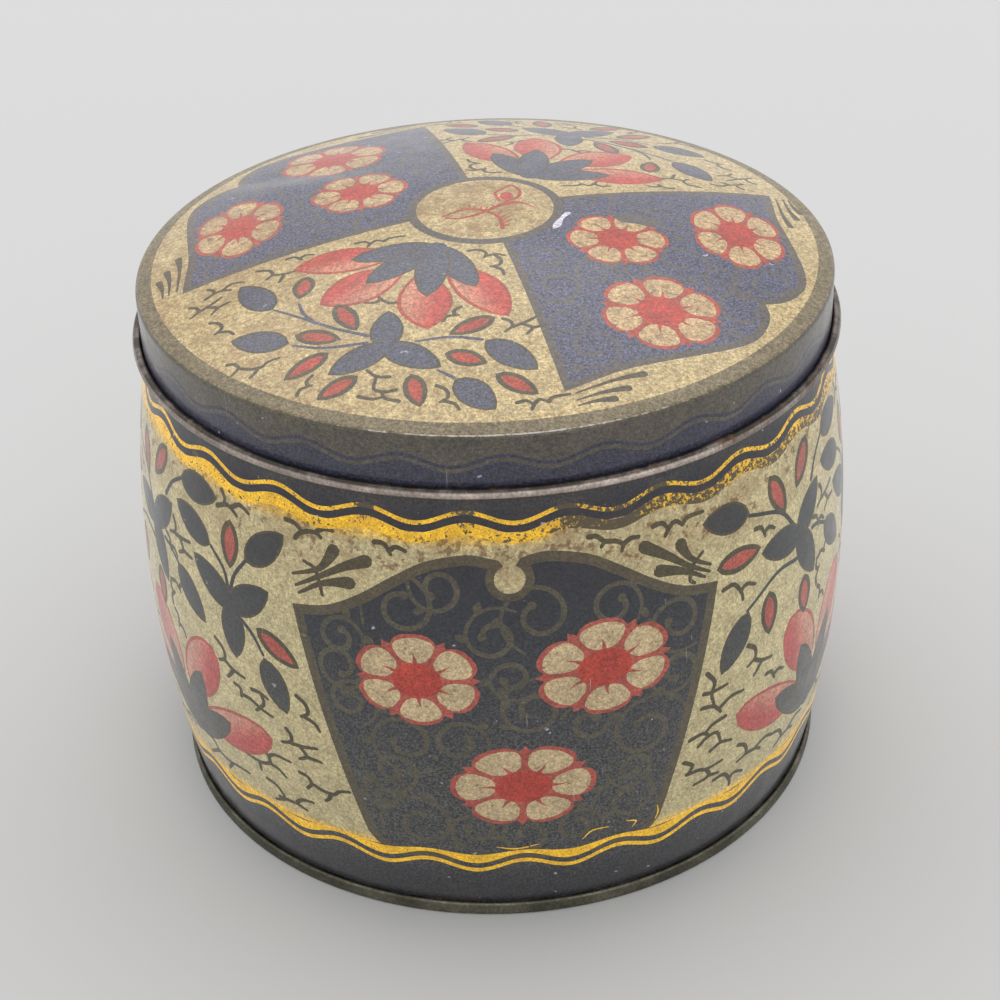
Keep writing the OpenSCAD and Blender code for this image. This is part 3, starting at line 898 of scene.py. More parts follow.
def joined(name, patches):
    """Object whose mesh holds the patches, with their ink, fade and bare metal as attributes."""
    points = np.vstack([p.points for p in patches])
    starts = np.cumsum([0] + [len(p.points) for p in patches])
    faces = [tuple(i + start for i in face) for p, start in zip(patches, starts) for face in p.faces]
    mesh = bpy.data.meshes.new(name)
    mesh.from_pydata(points.tolist(), [], faces)
    for mark, kind, domain in PATCH_MARKS:
        values = np.concatenate([getattr(p, mark) for p in patches])
        values = values.astype(np.float32 if kind == "FLOAT" else bool)
        mesh.attributes.new(mark, kind, domain).data.foreach_set("value", values)
    piece = bpy.data.objects.new(name, mesh)
    bpy.context.scene.collection.objects.link(piece)
    return piece


def repeat_tree():
    """Geometry Nodes tree that repeats a sector around the upright axis and welds the copies."""
    name = "Repeat around the axis"
    if name in bpy.data.node_groups:
        return bpy.data.node_groups[name]
    tree = bpy.data.node_groups.new(name, "GeometryNodeTree")
    given = {
        "Sector": "Geometry", "Count": "Int", "Weld distance": "Float",
        "Cap": "Object", "Printed finish": "Material", "Bare finish": "Material",
    }
    for socket, kind in given.items():
        tree.interface.new_socket(socket, in_out="INPUT", socket_type="NodeSocket" + kind)
    tree.interface.new_socket("Piece", in_out="OUTPUT", socket_type="NodeSocketGeometry")

    def add(kind, inputs, **settings):
        """New node with its inputs linked or set; gives its outputs."""
        node = tree.nodes.new(kind)
        for key, value in settings.items():
            setattr(node, key, value)
        for socket, value in inputs.items():
            if isinstance(value, bpy.types.NodeSocket):
                tree.links.new(value, node.inputs[socket])
            else:
                node.inputs[socket].default_value = value
        return node.outputs

    given = add("NodeGroupInput", {})
    line = add("GeometryNodeMeshLine", {"Offset": (0, 0, 0), "Count": given["Count"]}, mode="OFFSET")
    step = add("ShaderNodeMath", {0: 2 * math.pi, 1: given["Count"]}, operation="DIVIDE")
    index = add("GeometryNodeInputIndex", {})
    spin = add("ShaderNodeMath", {0: index[0], 1: step[0]}, operation="MULTIPLY")
    turn = add("ShaderNodeCombineXYZ", {"Z": spin[0]})
    places = {"Points": line["Mesh"], "Instance": given["Sector"], "Rotation": turn[0]}
    copies = add("GeometryNodeInstanceOnPoints", places)
    real = add("GeometryNodeRealizeInstances", {0: copies[0]})
    cap = add("GeometryNodeObjectInfo", {"Object": given["Cap"]})
    whole = add("GeometryNodeJoinGeometry", {0: cap["Geometry"]})
    tree.links.new(real[0], whole[0].node.inputs[0])
    weld = add("GeometryNodeMergeByDistance", {"Geometry": whole[0], "Distance": given["Weld distance"]})
    inked = add("GeometryNodeSetMaterial", {"Geometry": weld[0], "Material": given["Printed finish"]})
    mark = add("GeometryNodeInputNamedAttribute", {"Name": "bare"}, data_type="BOOLEAN")
    bare = {"Geometry": inked[0], "Selection": mark["Attribute"], "Material": given["Bare finish"]}
    plain = add("GeometryNodeSetMaterial", bare)
    add("NodeGroupOutput", {0: plain[0]})
    return tree


def repeated(sector, count, printed_finish, bare_finish, cap=None):
    """The sector's object, its mesh now the whole ring of copies."""
    tree = repeat_tree()
    modifier = sector.modifiers.new("Repeat", "NODES")
    modifier.node_group = tree
    values = {
        "Count": count, "Weld distance": WELD, "Cap": cap,
        "Printed finish": printed_finish, "Bare finish": bare_finish,
    }
    for item in tree.interface.items_tree:
        if item.name in values and values[item.name] is not None:
            modifier[item.identifier] = values[item.name]
    sector.update_tag()
    view = bpy.context.evaluated_depsgraph_get()
    view.update()
    whole = bpy.data.meshes.new_from_object(sector.evaluated_get(view))
    rough = sector.data
    sector.modifiers.remove(modifier)
    sector.data = whole
    whole.name = sector.name
    bpy.data.meshes.remove(rough)
    if cap is not None:
        bpy.data.objects.remove(cap)
    return sector


def points_of(mesh):
    co = np.empty(len(mesh.vertices) * 3, np.float32)
    mesh.vertices.foreach_get("co", co)
    return co.reshape(-1, 3).astype(float)


def set_points(mesh, points):
    mesh.vertices.foreach_set("co", points.astype(np.float32).ravel())
    mesh.update()


def set_mark(mesh, name, values):
    """Number on each point of a mesh, for the finish to read."""
    mesh.attributes.new(name, "FLOAT", "POINT").data.foreach_set("value", np.asarray(values, np.float32))


def smooth_with(mesh, known=(), normals=None):
    """Smooth shading, with exact normals where they are known."""
    mesh.polygons.foreach_set("use_smooth", np.ones(len(mesh.polygons), bool))
    all_normals = np.empty(len(mesh.vertices) * 3, np.float32)
    mesh.vertices.foreach_get("normal", all_normals)
    all_normals = all_normals.reshape(-1, 3)
    if normals is not None:
        all_normals[known] = normals[known]
    mesh.normals_split_custom_set_from_vertices(all_normals.tolist())


def bump_step(value, low, high):
    """Soft step from 0 at low to 1 at high."""
    t = np.clip((value - low) / (high - low), 0, 1)
    return t * t * (3 - 2 * t)


def body_columns(tin):
    """Angles of the columns of one third of the body, closer beside the seam."""
    seam = np.array((0.0, 0.1, 0.22, 1.2, tin.lock_w / 2, tin.lock_w / 2 + 0.12, 4.2)) / tin.per_degree
    step = STATION_TURN
    inner = np.arange(-HALF_SECTOR + 4 * step, HALF_SECTOR - 3.5 * step, step)
    return np.concatenate((-HALF_SECTOR + seam, inner, HALF_SECTOR - seam[::-1]))


def wave_columns():
    """Angles of the columns of one wave of the lid or the base."""
    return np.arange(-WAVE_TURN / 2, WAVE_TURN / 2 + STATION_TURN / 2, STATION_TURN)


def sheet_outline(x, rows):
    """Closed outline of a flat sheet, with points at its columns and rows."""
    low = np.column_stack((x, np.full(len(x), rows[0])))
    right = np.column_stack((np.full(len(rows) - 2, x[-1]), rows[1:-1]))
    high = np.column_stack((x, np.full(len(x), rows[-1])))
    return np.vstack((low, right, high[::-1], (right * (-1, 1))[::-1]))


def body_sector(tin):
    """One third of the body sheet: printed barrel, neck, mouth curl, inner wall and seam hook."""
    columns = body_columns(tin)
    x = columns * tin.per_degree
    rows = np.linspace(tin.seam_h, tin.shoulder_h, 28)
    guides = [(u, z) for u in x[8:-8:2] for z in rows[1:-1]]
    lines = [[(side * near, z) for z in rows] for near in x[1:3] for side in (-1, 1)]

    def lift(flat):
        z = flat[:, 1]
        return around(tin.wall(z), flat[:, 0] / tin.per_degree, z)

    barrel = printed(body_print(tin), sheet_outline(x, rows), guides, lines, NAVY, lift)
    bend = (tin.sheet + 2 * tin.seam_gap) / 2
    bend_x, bend_z = tin.foot_r + bend, tin.sheet + tin.seam_gap + tin.foot_t + bend
    hook_top = tin.seam_h - tin.sheet - (tin.foot_t + 2 * tin.seam_gap) / 2 - tin.seam_gap
    hook_x = tin.foot_r + 2 * bend
    lock_end = tin.curl_z - tin.curl_r - 1
    neck = np.array(((tin.neck_r, tin.shoulder_h), (tin.neck_r, lock_end), (tin.neck_r, tin.curl_z)))
    curl = arc(tin.curl_x, tin.curl_z, tin.curl_r, 0, 300, 20)
    curl_in = arc(tin.curl_x, tin.curl_z, tin.curl_r - tin.neck_t, 300, 0, 20)
    neck_in = tin.neck_r - tin.neck_t
    inner_neck = np.array(((neck_in, lock_end + 0.4), (neck_in, lock_end)))
    inner_z = np.linspace(tin.seam_h, tin.shoulder_h, 37)
    inner = np.column_stack((tin.wall(inner_z, tin.sheet), inner_z))[::-1]
    under = arc(bend_x, bend_z, bend + tin.foot_t, 180, 360, 10)
    tip = np.array(((hook_x + tin.foot_t, hook_top), (hook_x, hook_top)))
    over = arc(bend_x, bend_z, bend, 360, 180, 10)
    foot = np.array(((tin.foot_r, tin.seam_h),))
    outside = turned(neck, columns, NAVY, False)
    rest = turned(np.vstack((curl, curl_in, inner_neck, inner, under, tip, over, foot)), columns)
    return [barrel, outside, rest]


def beside_seam(x, y):
    """Distance from the middle of the side seam."""
    return np.where(y > 0, np.abs(x), FAR)


# Side seam: depth of the slit outside, where it fades beside the seam's middle, and width of the ridge's edge
SLIT_DEEP, SLIT_FADE, RIDGE_EDGE = 0.24, (0.08, 0.2), 0.1


def form_side_seam(tin, points):
    """Slit on the outside of the wall and folded ridge on its inside, at the back."""
    x, y, z = points.T / MM
    r = np.hypot(x, y)
    off = beside_seam(x, y)
    wall = np.where(z > tin.shoulder_h, tin.neck_r, tin.wall(np.clip(z, tin.seam_h, tin.shoulder_h)))
    depth = wall - r
    on_wall = (z > tin.seam_h - TOUCH) & (z < tin.curl_z - 0.5)
    mid_sheet = tin.sheet / 2
    outer = on_wall & (depth < mid_sheet) & (depth > -0.05)
    inner = on_wall & (depth >= mid_sheet) & (depth < 0.5)
    inner &= (z > tin.seam_h + 1) & (z < tin.curl_z - tin.curl_r - 0.8)
    sunk = SLIT_DEEP * (1 - bump_step(off, *SLIT_FADE)) * outer
    half = tin.lock_w / 2
    ridge = tin.lock_depth * (1 - bump_step(off, half, half + RIDGE_EDGE)) * inner
    scale = 1 - (sunk + ridge) / np.maximum(r, 1)
    return points * np.column_stack((scale, scale, np.ones(len(scale)))), outer


def base_profile(tin):
    """Closed outline of the base sheet: under face outwards, hook, and upper face back to the middle."""
    bend = (tin.sheet + 2 * tin.seam_gap) / 2
    turn = (tin.foot_t + 2 * tin.seam_gap) / 2
    bend_z = tin.sheet + tin.seam_gap + tin.foot_t + bend
    turn_z = tin.seam_h - tin.sheet - turn
    chuck = tin.foot_in - tin.seam_gap
    outer = tin.foot_r + 2 * bend + tin.foot_t + tin.seam_gap
    trough = 0.35
    panel_bend = 0.6
    panel_x = chuck - tin.sheet - panel_bend
    panel_z = tin.panel_h - tin.sheet - panel_bend
    hook = tin.foot_r + tin.seam_gap

    def face(upper, under):
        middle = np.column_stack((np.linspace(0, panel_x, 14)[:-1], np.full(13, tin.panel_h - under)))
        return np.vstack((
            middle,
            arc(panel_x, panel_z, panel_bend + upper, 90, 0, 6),
            arc(chuck + trough, tin.sheet + trough, trough + under, 180, 270, 6),
            arc(outer - trough, tin.sheet + trough, trough + under, 270, 360, 6),
            arc(outer - turn, turn_z, turn + under, 0, 180, 10),
            ((hook + upper, bend_z + tin.seam_gap),),
        ))

    return np.vstack((face(0, tin.sheet), face(tin.sheet, 0)[::-1]))


def lid_ring(tin):
    """One wave of the lid's ring: inner face, rolled rim, printed skirt and corner."""
    columns = wave_columns()
    across = math.radians(tin.skirt_r)
    x = columns * across
    thin = tin.sheet
    dome = arc(0, tin.dome_z, tin.dome_r - thin, 90, tin.dome_edge, 24)
    corner = arc(tin.corner_x, tin.corner_z, tin.corner_r - thin, tin.dome_edge, 0, 6)
    rim = arc(tin.rim_x, tin.rim_z, tin.rim_r, 180, 480, 24)
    rim_out = arc(tin.rim_x, tin.rim_z, tin.rim_r - thin, 480, 180, 24)
    inside_face = turned(np.vstack((dome, corner, rim, rim_out[:1])), columns)
    rolled = turned(rim_out, columns)
    rows = np.linspace(tin.rim_z, tin.corner_z, 6)
    guides = [(u, z) for u in x[1:-1:2] for z in rows[1:-1]]

    def lift(flat):
        return around(np.full(len(flat), tin.skirt_r), flat[:, 0] / across, flat[:, 1])

    skirt = printed(skirt_print(tin), sheet_outline(x, rows), guides, [], NAVY, lift)
    inks = np.repeat((SCROLL,) * 5 + (BAND,) * 3, len(columns) - 1)
    edge = turned(arc(tin.corner_x, tin.corner_z, tin.corner_r, 0, tin.dome_edge, 8), columns, inks, False)
    return [inside_face, rolled, skirt, edge]


def lid_dome(tin):
    """Printed top of the lid, out to where the corner starts."""
    a = np.radians(np.arange(STATIONS) * STATION_TURN - 90)
    outline = tin.dome_out * np.column_stack((np.cos(a), np.sin(a)))
    spread = np.arange(-72, 73, 3.6)
    guides = [(u, v) for u in spread for v in spread if math.hypot(u, v) < tin.dome_out - 1]

    def lift(flat):
        r = np.hypot(flat[:, 0], flat[:, 1])
        return np.column_stack((flat, tin.dome(r))) * MM

    return printed(lid_print(tin), outline, guides, [], CREAM, lift)


def body_normals(tin, points, outer):
    """Which points lie on the smooth outside of the body, and the exact normals there."""
    x, y, z = points.T / MM
    radial = points[:, :2] / np.hypot(points[:, 0], points[:, 1])[:, None]
    lean = np.where(outer & (z < tin.shoulder_h + TOUCH), (z - tin.belly_h) / tin.arc_r, 0.0)
    normals = np.column_stack((radial * np.sqrt(1 - lean**2)[:, None], lean))
    return outer & (beside_seam(x, y) > 0.3), normals


def crease(tin, x, y, z):
    """How far the lid's points sink in its crease, and how the surface slopes there."""
    spin = turn_matrix(CREASE_TURN)
    flat = np.column_stack((x, y)) - CREASE
    along = flat @ spin.T[0] / CREASE_LONG
    across = flat @ spin.T[1] / CREASE_WIDE
    swell = CREASE_DEEP * np.exp(-(along**2) - across**2) * (z > tin.corner_z)
    swell *= bump_step(tin.dome_out - np.hypot(x, y), 0, 8)
    slope = np.outer(2 * along * across * swell / CREASE_LONG, spin.T[0])
    slope += np.outer((2 * across**2 - 1) * swell / CREASE_WIDE, spin.T[1])
    return across * swell, slope


# Wear of the body. Its gold is rubbed bare and then thin to the right of the front, and thin at the back:
# where these places start and end, in degrees
BARE_FROM, BARE_TO, THIN_TO, BACK, CREST_SIDE = (4, 11), (19, 25), (60, 90), (110, 160), 25

# Heights where wear starts and ends: top of the print, lower edge of the gold, the fine wave and its crests,
# stains at the top and the foot, the neck, and the painted sheen on the dark inks, lightest low on the body
TOP_PRINT, GOLD_EDGE, FINE_WAVE, CRESTS = (80, 95), (97.5, 99.5), (101.6, 102.4), (102, 103)
TOP_STAIN, FOOT_STAIN, NECK = (78, 98), (4, 12), (106, 112)
SHEEN_FALL, SHEEN_FOOT, SHEEN_TOP = (30, 100), (8, 20), (103.5, 105.5)


def wear_body(mesh, x, y, z):
    """Marks on the body: rubbed gold, stains, bare edges, and painted sheen that lightens the dark inks low
    down and leaves them darker at the top under the lid.
    """
    degrees = np.degrees(np.arctan2(x, -y))
    side = 0.6 * bump_step(degrees, *BARE_FROM) * (1 - bump_step(degrees, *BARE_TO))
    side += 0.36 * bump_step(degrees, *BARE_TO) * (1 - bump_step(degrees, *THIN_TO))
    side += 0.3 * bump_step(np.abs(degrees), *BACK)
    side *= 1 - 0.6 * bump_step(z, *FINE_WAVE)
    edge = 0.24 * (1 - bump_step(z, *GOLD_EDGE))
    wave = np.cos(np.radians(WAVES * (degrees - TOP_CREST)))
    crest = 0.62 * bump_step(wave, 0.7, 0.95) * bump_step(z, *CRESTS) * (np.abs(degrees) < CREST_SIDE)
    set_mark(mesh, "rubbed", bump_step(z, *TOP_PRINT) * (side + edge + crest + 0.1))
    front = np.exp(-((degrees / 60) ** 2))
    foot = 0.4 * (1 - bump_step(z, *FOOT_STAIN))
    set_mark(mesh, "age", (0.3 + 0.25 * front) * bump_step(z, *TOP_STAIN) + foot)
    seam = np.exp(-((beside_seam(x, y) / 0.5) ** 2))
    set_mark(mesh, "edge", 0.5 * seam + 0.42 * bump_step(z, *NECK))
    # Painted sheen: dark inks lit up towards the bottom and back to their own shade at the top, where the
    # lid's shade falls, plus a lighter band above the fine wave
    dust_and_sheen = (1 - bump_step(z, *SHEEN_FALL)) * (0.35 + 0.65 * bump_step(z, *SHEEN_FOOT))
    set_mark(mesh, "film", dust_and_sheen + 0.55 * bump_step(z, *SHEEN_TOP))


# Wear and painted light on the lid: how far the painted highlights on the corner and the rim reach from the
# front, where stains grow to the left, and the lean of the corner's painted highlight with its spread; the
# rolled rim keeps a painted highlight between flanks darkened by painted shade, in degrees
LID_FRONT, LEFT_STAIN, CORNER_LEAN, CORNER_SPREAD, FLANK = 32, (0, 50), 0.85, 0.35, (20, 45)


def wear_lid(tin, mesh, x, y, z, dome, skirt):
    """Marks on the lid: a film of dull varnish and painted sheen, stains, a bare corner laid as a painted
    highlight, and painted shade around its rolled rim.
    """
    r = np.hypot(x, y)
    front = np.exp(-((np.degrees(np.arctan2(x, -y)) / LID_FRONT) ** 2))
    # Painted sheen on the dome's dark inks and a little on the skirt, with some dull varnish bloom
    set_mark(mesh, "film", 1.1 * dome + 0.35 * skirt)
    stain = 0.1 + 0.4 * bump_step(-x, *LEFT_STAIN) + 0.7 * (r < MEDALLION_R)
    set_mark(mesh, "age", stain * dome)
    # Painted highlight: bright bare metal along the corner's curve, strongest at the front
    out, up = r - tin.corner_x, z - tin.corner_z
    on_corner = (np.hypot(out, up) > 1.0) & (out > 0) & (up > -0.4)
    line = np.exp(-(((np.arctan2(up, np.maximum(out, 0.01)) - CORNER_LEAN) / CORNER_SPREAD) ** 2))
    set_mark(mesh, "edge", on_corner * (0.42 + 0.24 * front) * line)
    # Painted shade on the rolled rim: dark flanks above and below and darker sides, leaving a painted
    # highlight along its middle at the front
    bead = np.abs(np.degrees(np.arctan2(z - tin.rim_z, r - tin.rim_x)))
    grime = np.maximum(0.95 * bump_step(bead, *FLANK), 0.5 - 0.5 * front)
    set_mark(mesh, "grime", (r > tin.skirt_r + 0.05) * grime)


# Finishes


class Finish:
    """Node tree of one finish, with short calls for the nodes it needs."""

    def __init__(self, name):
        self.material = bpy.data.materials.new(name)
        self.material.use_nodes = True
        self.tree = self.material.node_tree
        self.shader = self.tree.nodes["Principled BSDF"]
        self.place = self.add("TexCoord").outputs["Object"]

    def add(self, kind, **settings):
        node = self.tree.nodes.new("ShaderNode" + kind)
        for key, value in settings.items():
            setattr(node, key, value)
        return node

    def feed(self, socket, value):
        if isinstance(value, bpy.types.NodeSocket):
            self.tree.links.new(value, socket)
        else:
            socket.default_value = value

    def set(self, **values):
        for name, value in values.items():
            self.feed(self.shader.inputs[name.replace("_", " ").title().replace("Ior", "IOR")], value)

    def stretched(self, turn, scale):
        node = self.add("Mapping")
        self.feed(node.inputs["Vector"], self.place)
        node.inputs["Rotation"].default_value = [math.radians(t) for t in turn]
        node.inputs["Scale"].default_value = scale
        return node.outputs[0]

    def noise(self, scale, detail=3.0, roughness=0.5, place=None):
        node = self.add("TexNoise")
        self.feed(node.inputs["Vector"], place or self.place)
        node.inputs["Scale"].default_value = scale
        node.inputs["Detail"].default_value = detail
        node.inputs["Roughness"].default_value = roughness
        return node.outputs["Fac"]

    def mark(self, name):
        return self.add("Attribute", attribute_name=name).outputs["Fac"]

    def math(self, operation, a, b=0.0):
        node = self.add("Math", operation=operation)
        self.feed(node.inputs[0], a)
        self.feed(node.inputs[1], b)
        return node.outputs[0]

    def times(self, a, b):
        return self.math("MULTIPLY", a, b)

    def plus(self, a, b):
        return self.math("ADD", a, b)

    def cloud(self, noise, low, high, least=0.0, most=1.0):
        """Noise of a scale, detail and roughness, with its low and high parts drawn apart."""
        return self.spread(self.noise(*noise), low, high, least, most)

    def spread(self, value, low, high, least=0.0, most=1.0):
        node = self.add("MapRange", interpolation_type="SMOOTHSTEP")
        for socket, given in zip(node.inputs, (value, low, high, least, most)):
            self.feed(socket, given)
        return node.outputs[0]

    def mix(self, factor, first, second, blend="MIX"):
        node = self.add("Mix", data_type="RGBA", blend_type=blend)
        self.feed(node.inputs["Factor"], factor)
        self.feed(node.inputs[6], first)
        self.feed(node.inputs[7], second)
        return node.outputs[2]

    def by_ink(self, shades):
        """A colour for each ink, picked by the mark on the faces."""
        node = self.add("ValToRGB")
        node.color_ramp.interpolation = "CONSTANT"
        stops = node.color_ramp.elements
        while len(stops) < len(shades):
            stops.new(1.0)
        for i, shade in enumerate(shades):
            stops[i].position = i / len(shades)
            stops[i].color = shade
        chosen = self.math("DIVIDE", self.plus(self.mark("ink"), 0.5), len(shades))
        self.feed(node.inputs[0], chosen)
        return node.outputs["Color"]

    def bump(self, height, distance):
        node = self.add("Bump")
        node.inputs["Distance"].default_value = distance
        self.feed(node.inputs["Height"], height)
        return node.outputs[0]


# Painted shade on the rolled rim's flanks and sides, and the duller tinplate of the base
PAINTED_SHADE_COLOUR = (0.25, 0.235, 0.215)
BASE_TIN = (0.50, 0.49, 0.43)
WHITE = (1, 1, 1)


def grey(value):
    return (value, value, value, 1.0)


def print_finish(name, colours, tint, reds, dusk, film_and_sheen_shade, speckle, grain, age):
    """Varnished ink on tinplate: mottled, speckled, scuffed and rubbed, with rust spots, bare edges, painted
    sheen on the dark inks and a painted highlight on the lid's bare corner.
    """
    f = Finish(name)

    def amount(least, **some):
        """A share for each ink, named where it differs from the least."""
        return f.by_ink([grey(some.get(ink, least)) for ink in INKS])

    shades = [linear(getattr(colours, ink)) for ink in INKS]
    for ink in (CREAM, PALE, GLOW):
        shades[ink] = tuple(np.multiply(shades[ink], linear(tint)))
    for ink in (RED, PETAL, CORE):
        shades[ink] = tuple(np.multiply(shades[ink], linear(reds)))
    faded = list(shades)
    faded[PETAL] = tuple(np.multiply(linear(colours.faded), linear(tint)))
    faded[GLOW] = shades[GOLD]
    kept = f.spread(f.mark("rubbed"), 0.25, 0.6, 1.0, 0.0)
    shade = f.mix(f.times(f.mark("fade"), kept), f.by_ink(shades), f.by_ink(faded))
    pale = amount(0.12, cream=1, pale=1, glow=1, petal=0.35, red=0.35, core=0.35)
    dark = amount(0.0, navy=1, leaf=0.7, scroll=0.4, border=0.3)
    gold = amount(0.0, gold=1)
    speck, rust_shade, olive = linear(colours.speck), linear(colours.rust), linear(colours.border)

    # Mottled ink: broad clouds, coarse grain and fine grain
    fine = 0.7 * grain
    shade = f.mix(1.0, shade, f.cloud((210, 5, 0.6), 0.3, 0.7, 0.86, 1.12), "MULTIPLY")
    shade = f.mix(1.0, shade, f.cloud((1200, 5, 0.75), 0.35, 0.65, 1 - grain, 1 + grain), "MULTIPLY")
    shade = f.mix(1.0, shade, f.cloud((2600, 2, 0.6), 0.35, 0.65, 1 - fine, 1 + fine), "MULTIPLY")
    # Blue specks and painted sheen on the dark inks, partly dull varnish film on the lid; thin places in the
    # gold
    shade = f.mix(f.times(f.cloud((1900, 5, 0.75), 0.44, 0.6, 0.0, 0.7), dark), shade, linear(dusk))
    film = f.times(f.cloud((2000, 5, 0.75), 0.4, 0.66, 0.0, 0.35), f.mark("film"))
    shade = f.mix(f.times(film, dark), shade, linear(film_and_sheen_shade))
    thin = f.times(f.cloud((330, 4, 0.65), 0.45, 0.65, 0.0, 0.3), gold)
    shade = f.mix(thin, shade, linear(colours.amber))
    # Stains, specks and scuffs on the pale inks, gold rubbed away, rust spots
    stain = f.times(f.cloud((170, 6, 0.75), 0.4, 0.64, 0.05, 1.0), f.mark("age"))
    shade = f.mix(f.times(stain, pale), shade, speck)
    patch = f.cloud((560, 6, 0.8), 0.6 - speckle, 0.72 - speckle, 0.0, 0.75)
    shade = f.mix(f.times(patch, pale), shade, speck)
    point = f.cloud((1300, 4, 0.7), 0.68 - speckle, 0.77 - speckle, 0.0, 0.8)
    shade = f.mix(f.times(point, pale), shade, rust_shade)
    scuff = f.cloud((480, 6, 0.78), 0.57 - speckle / 3, 0.67 - speckle / 3, 0.0, 0.8)
    shade = f.mix(f.times(scuff, amount(0.0, pale=1, cream=0.3, red=0.3)), shade, olive)
    rubbed = f.plus(f.noise(1200, 4, 0.7), f.times(f.mark("rubbed"), 0.36))
    shade = f.mix(f.times(f.spread(rubbed, 0.6, 0.66), gold), shade, olive)
    spots = f.plus(f.noise(520, 5, 0.6), f.times(f.mark("age"), age))
    rust = f.times(f.spread(spots, 0.7, 0.8, 0.0, 0.7), pale)
    shade = f.mix(rust, shade, rust_shade)
    # Hair scratches, dust specks, flecks and bare edges; on the lid's corner the bare edges are a painted
    # highlight
    hair = f.noise(1.0, 2, 0.5, f.stretched((20, 35, 10), (2600, 2600, 45)))
    scratch = f.times(f.spread(hair, 0.73, 0.76), f.cloud((30, 2), 0.5, 0.6, 0.0, 0.35))
    shade = f.mix(scratch, shade, linear(colours.bare))
    dust_and_sheen = f.times(f.cloud((1700, 1, 0.5), 0.77, 0.8, 0.0, 0.7), f.mark("film"))
    shade = f.mix(dust_and_sheen, shade, linear(film_and_sheen_shade))
    fleck = f.times(f.cloud((430, 2, 0.5), 0.73, 0.77, 0.0, 0.6), dark)
    shade = f.mix(fleck, shade, linear(colours.chip))
    # Bare edges: real wear on the body's seam and neck, a painted highlight on the lid's corner
    worn_and_highlit = f.plus(f.mark("edge"), f.times(f.noise(700, 4, 0.7), 0.6))
    worn_and_highlit = f.spread(worn_and_highlit, 0.8, 0.95, 0.0, 0.7)

    relief = f.plus(f.noise(500, 4, 0.6), f.times(rust, -0.6))
    f.set(
        base_color=f.mix(worn_and_highlit, shade, linear(colours.wear_and_highlight)),
        roughness=f.plus(f.cloud((180, 4, 0.6), 0.3, 0.7, 0.32, 0.46), f.times(rust, 0.3)),
        metallic=f.times(worn_and_highlit, 0.7),
        normal=f.bump(relief, 0.00006),
        specular_ior_level=0.2,
        coat_weight=amount(0.75, band=0.3),
        coat_roughness=0.2,
    )
    return f.material


def bare_finish(name, shade, rust_shade, rust_from, rough=0.38):
    """Bare metal gone dull: stained, darkened by painted shade where marked, spotted with rust and slightly
    uneven.
    """
    f = Finish(name)
    metal = f.mix(1.0, linear(shade), f.cloud((70, 6, 0.65), 0.35, 0.7, 0.55, 1.1), "MULTIPLY")
    metal = f.mix(1.0, metal, f.cloud((1500, 4, 0.7), 0.35, 0.65, 0.72, 1.22), "MULTIPLY")
    # Painted shade where marked, broken up by a cloud
    grime = f.times(f.mark("grime"), f.cloud((150, 5, 0.7), 0.35, 0.55, 0.7, 1.0))
    metal = f.mix(grime, metal, linear(PAINTED_SHADE_COLOUR))
    rust = f.cloud((330, 6, 0.75), rust_from, rust_from + 0.1, 0.0, 0.8)
    dull = f.cloud((200, 4), 0.3, 0.7, rough - 0.08, rough + 0.1)
    f.set(
        base_color=f.mix(rust, metal, linear(rust_shade)),
        metallic=f.math("SUBTRACT", 1.0, rust),
        roughness=f.plus(dull, f.times(rust, 0.35)),
        normal=f.bump(f.plus(f.noise(600, 3), f.times(rust, 0.5)), 0.00005),
    )
    return f.material


# Operators


def settings():
    scene = bpy.context.scene
    return Tin(scene.tin_sizes), scene.tin_colours


class TIN_OT_body(bpy.types.Operator):
    """Make the printed body sheet with its neck, curl and side seam"""

    bl_idname = "tin.body"
    bl_label = "Printed body"

    def execute(self, context):
        tin, colours = settings()
        ink = print_finish(
            "printed_body", colours, WHITE, WHITE, colours.night, colours.dust_and_sheen,
            speckle=0.0, grain=0.28, age=0.36,
        )
        plain = bare_finish("inside_tinplate", colours.tin, colours.rust, 0.66)
        piece = repeated(joined("printed_body", body_sector(tin)), PANELS, ink, plain)
        points, outer = form_side_seam(tin, points_of(piece.data))
        set_points(piece.data, points)
        smooth_with(piece.data, *body_normals(tin, points, outer))
        wear_body(piece.data, *(points.T / MM))
        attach(piece, "tin_body")
        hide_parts("body_wall")
        return {"FINISHED"}


class TIN_OT_base(bpy.types.Operator):
    """Make the base with its seam around the foot of the body"""

    bl_idname = "tin.base"
    bl_label = "Base"

    def execute(self, context):
        tin, colours = settings()
        plain = bare_finish("base_tinplate", BASE_TIN, colours.rust, 0.62, 0.5)
        piece = repeated(joined("base", [turned(base_profile(tin), wave_columns())]), WAVES, plain, plain)
        smooth_with(piece.data)
        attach(piece, "tin_body")
        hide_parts("base_pan")
        return {"FINISHED"}


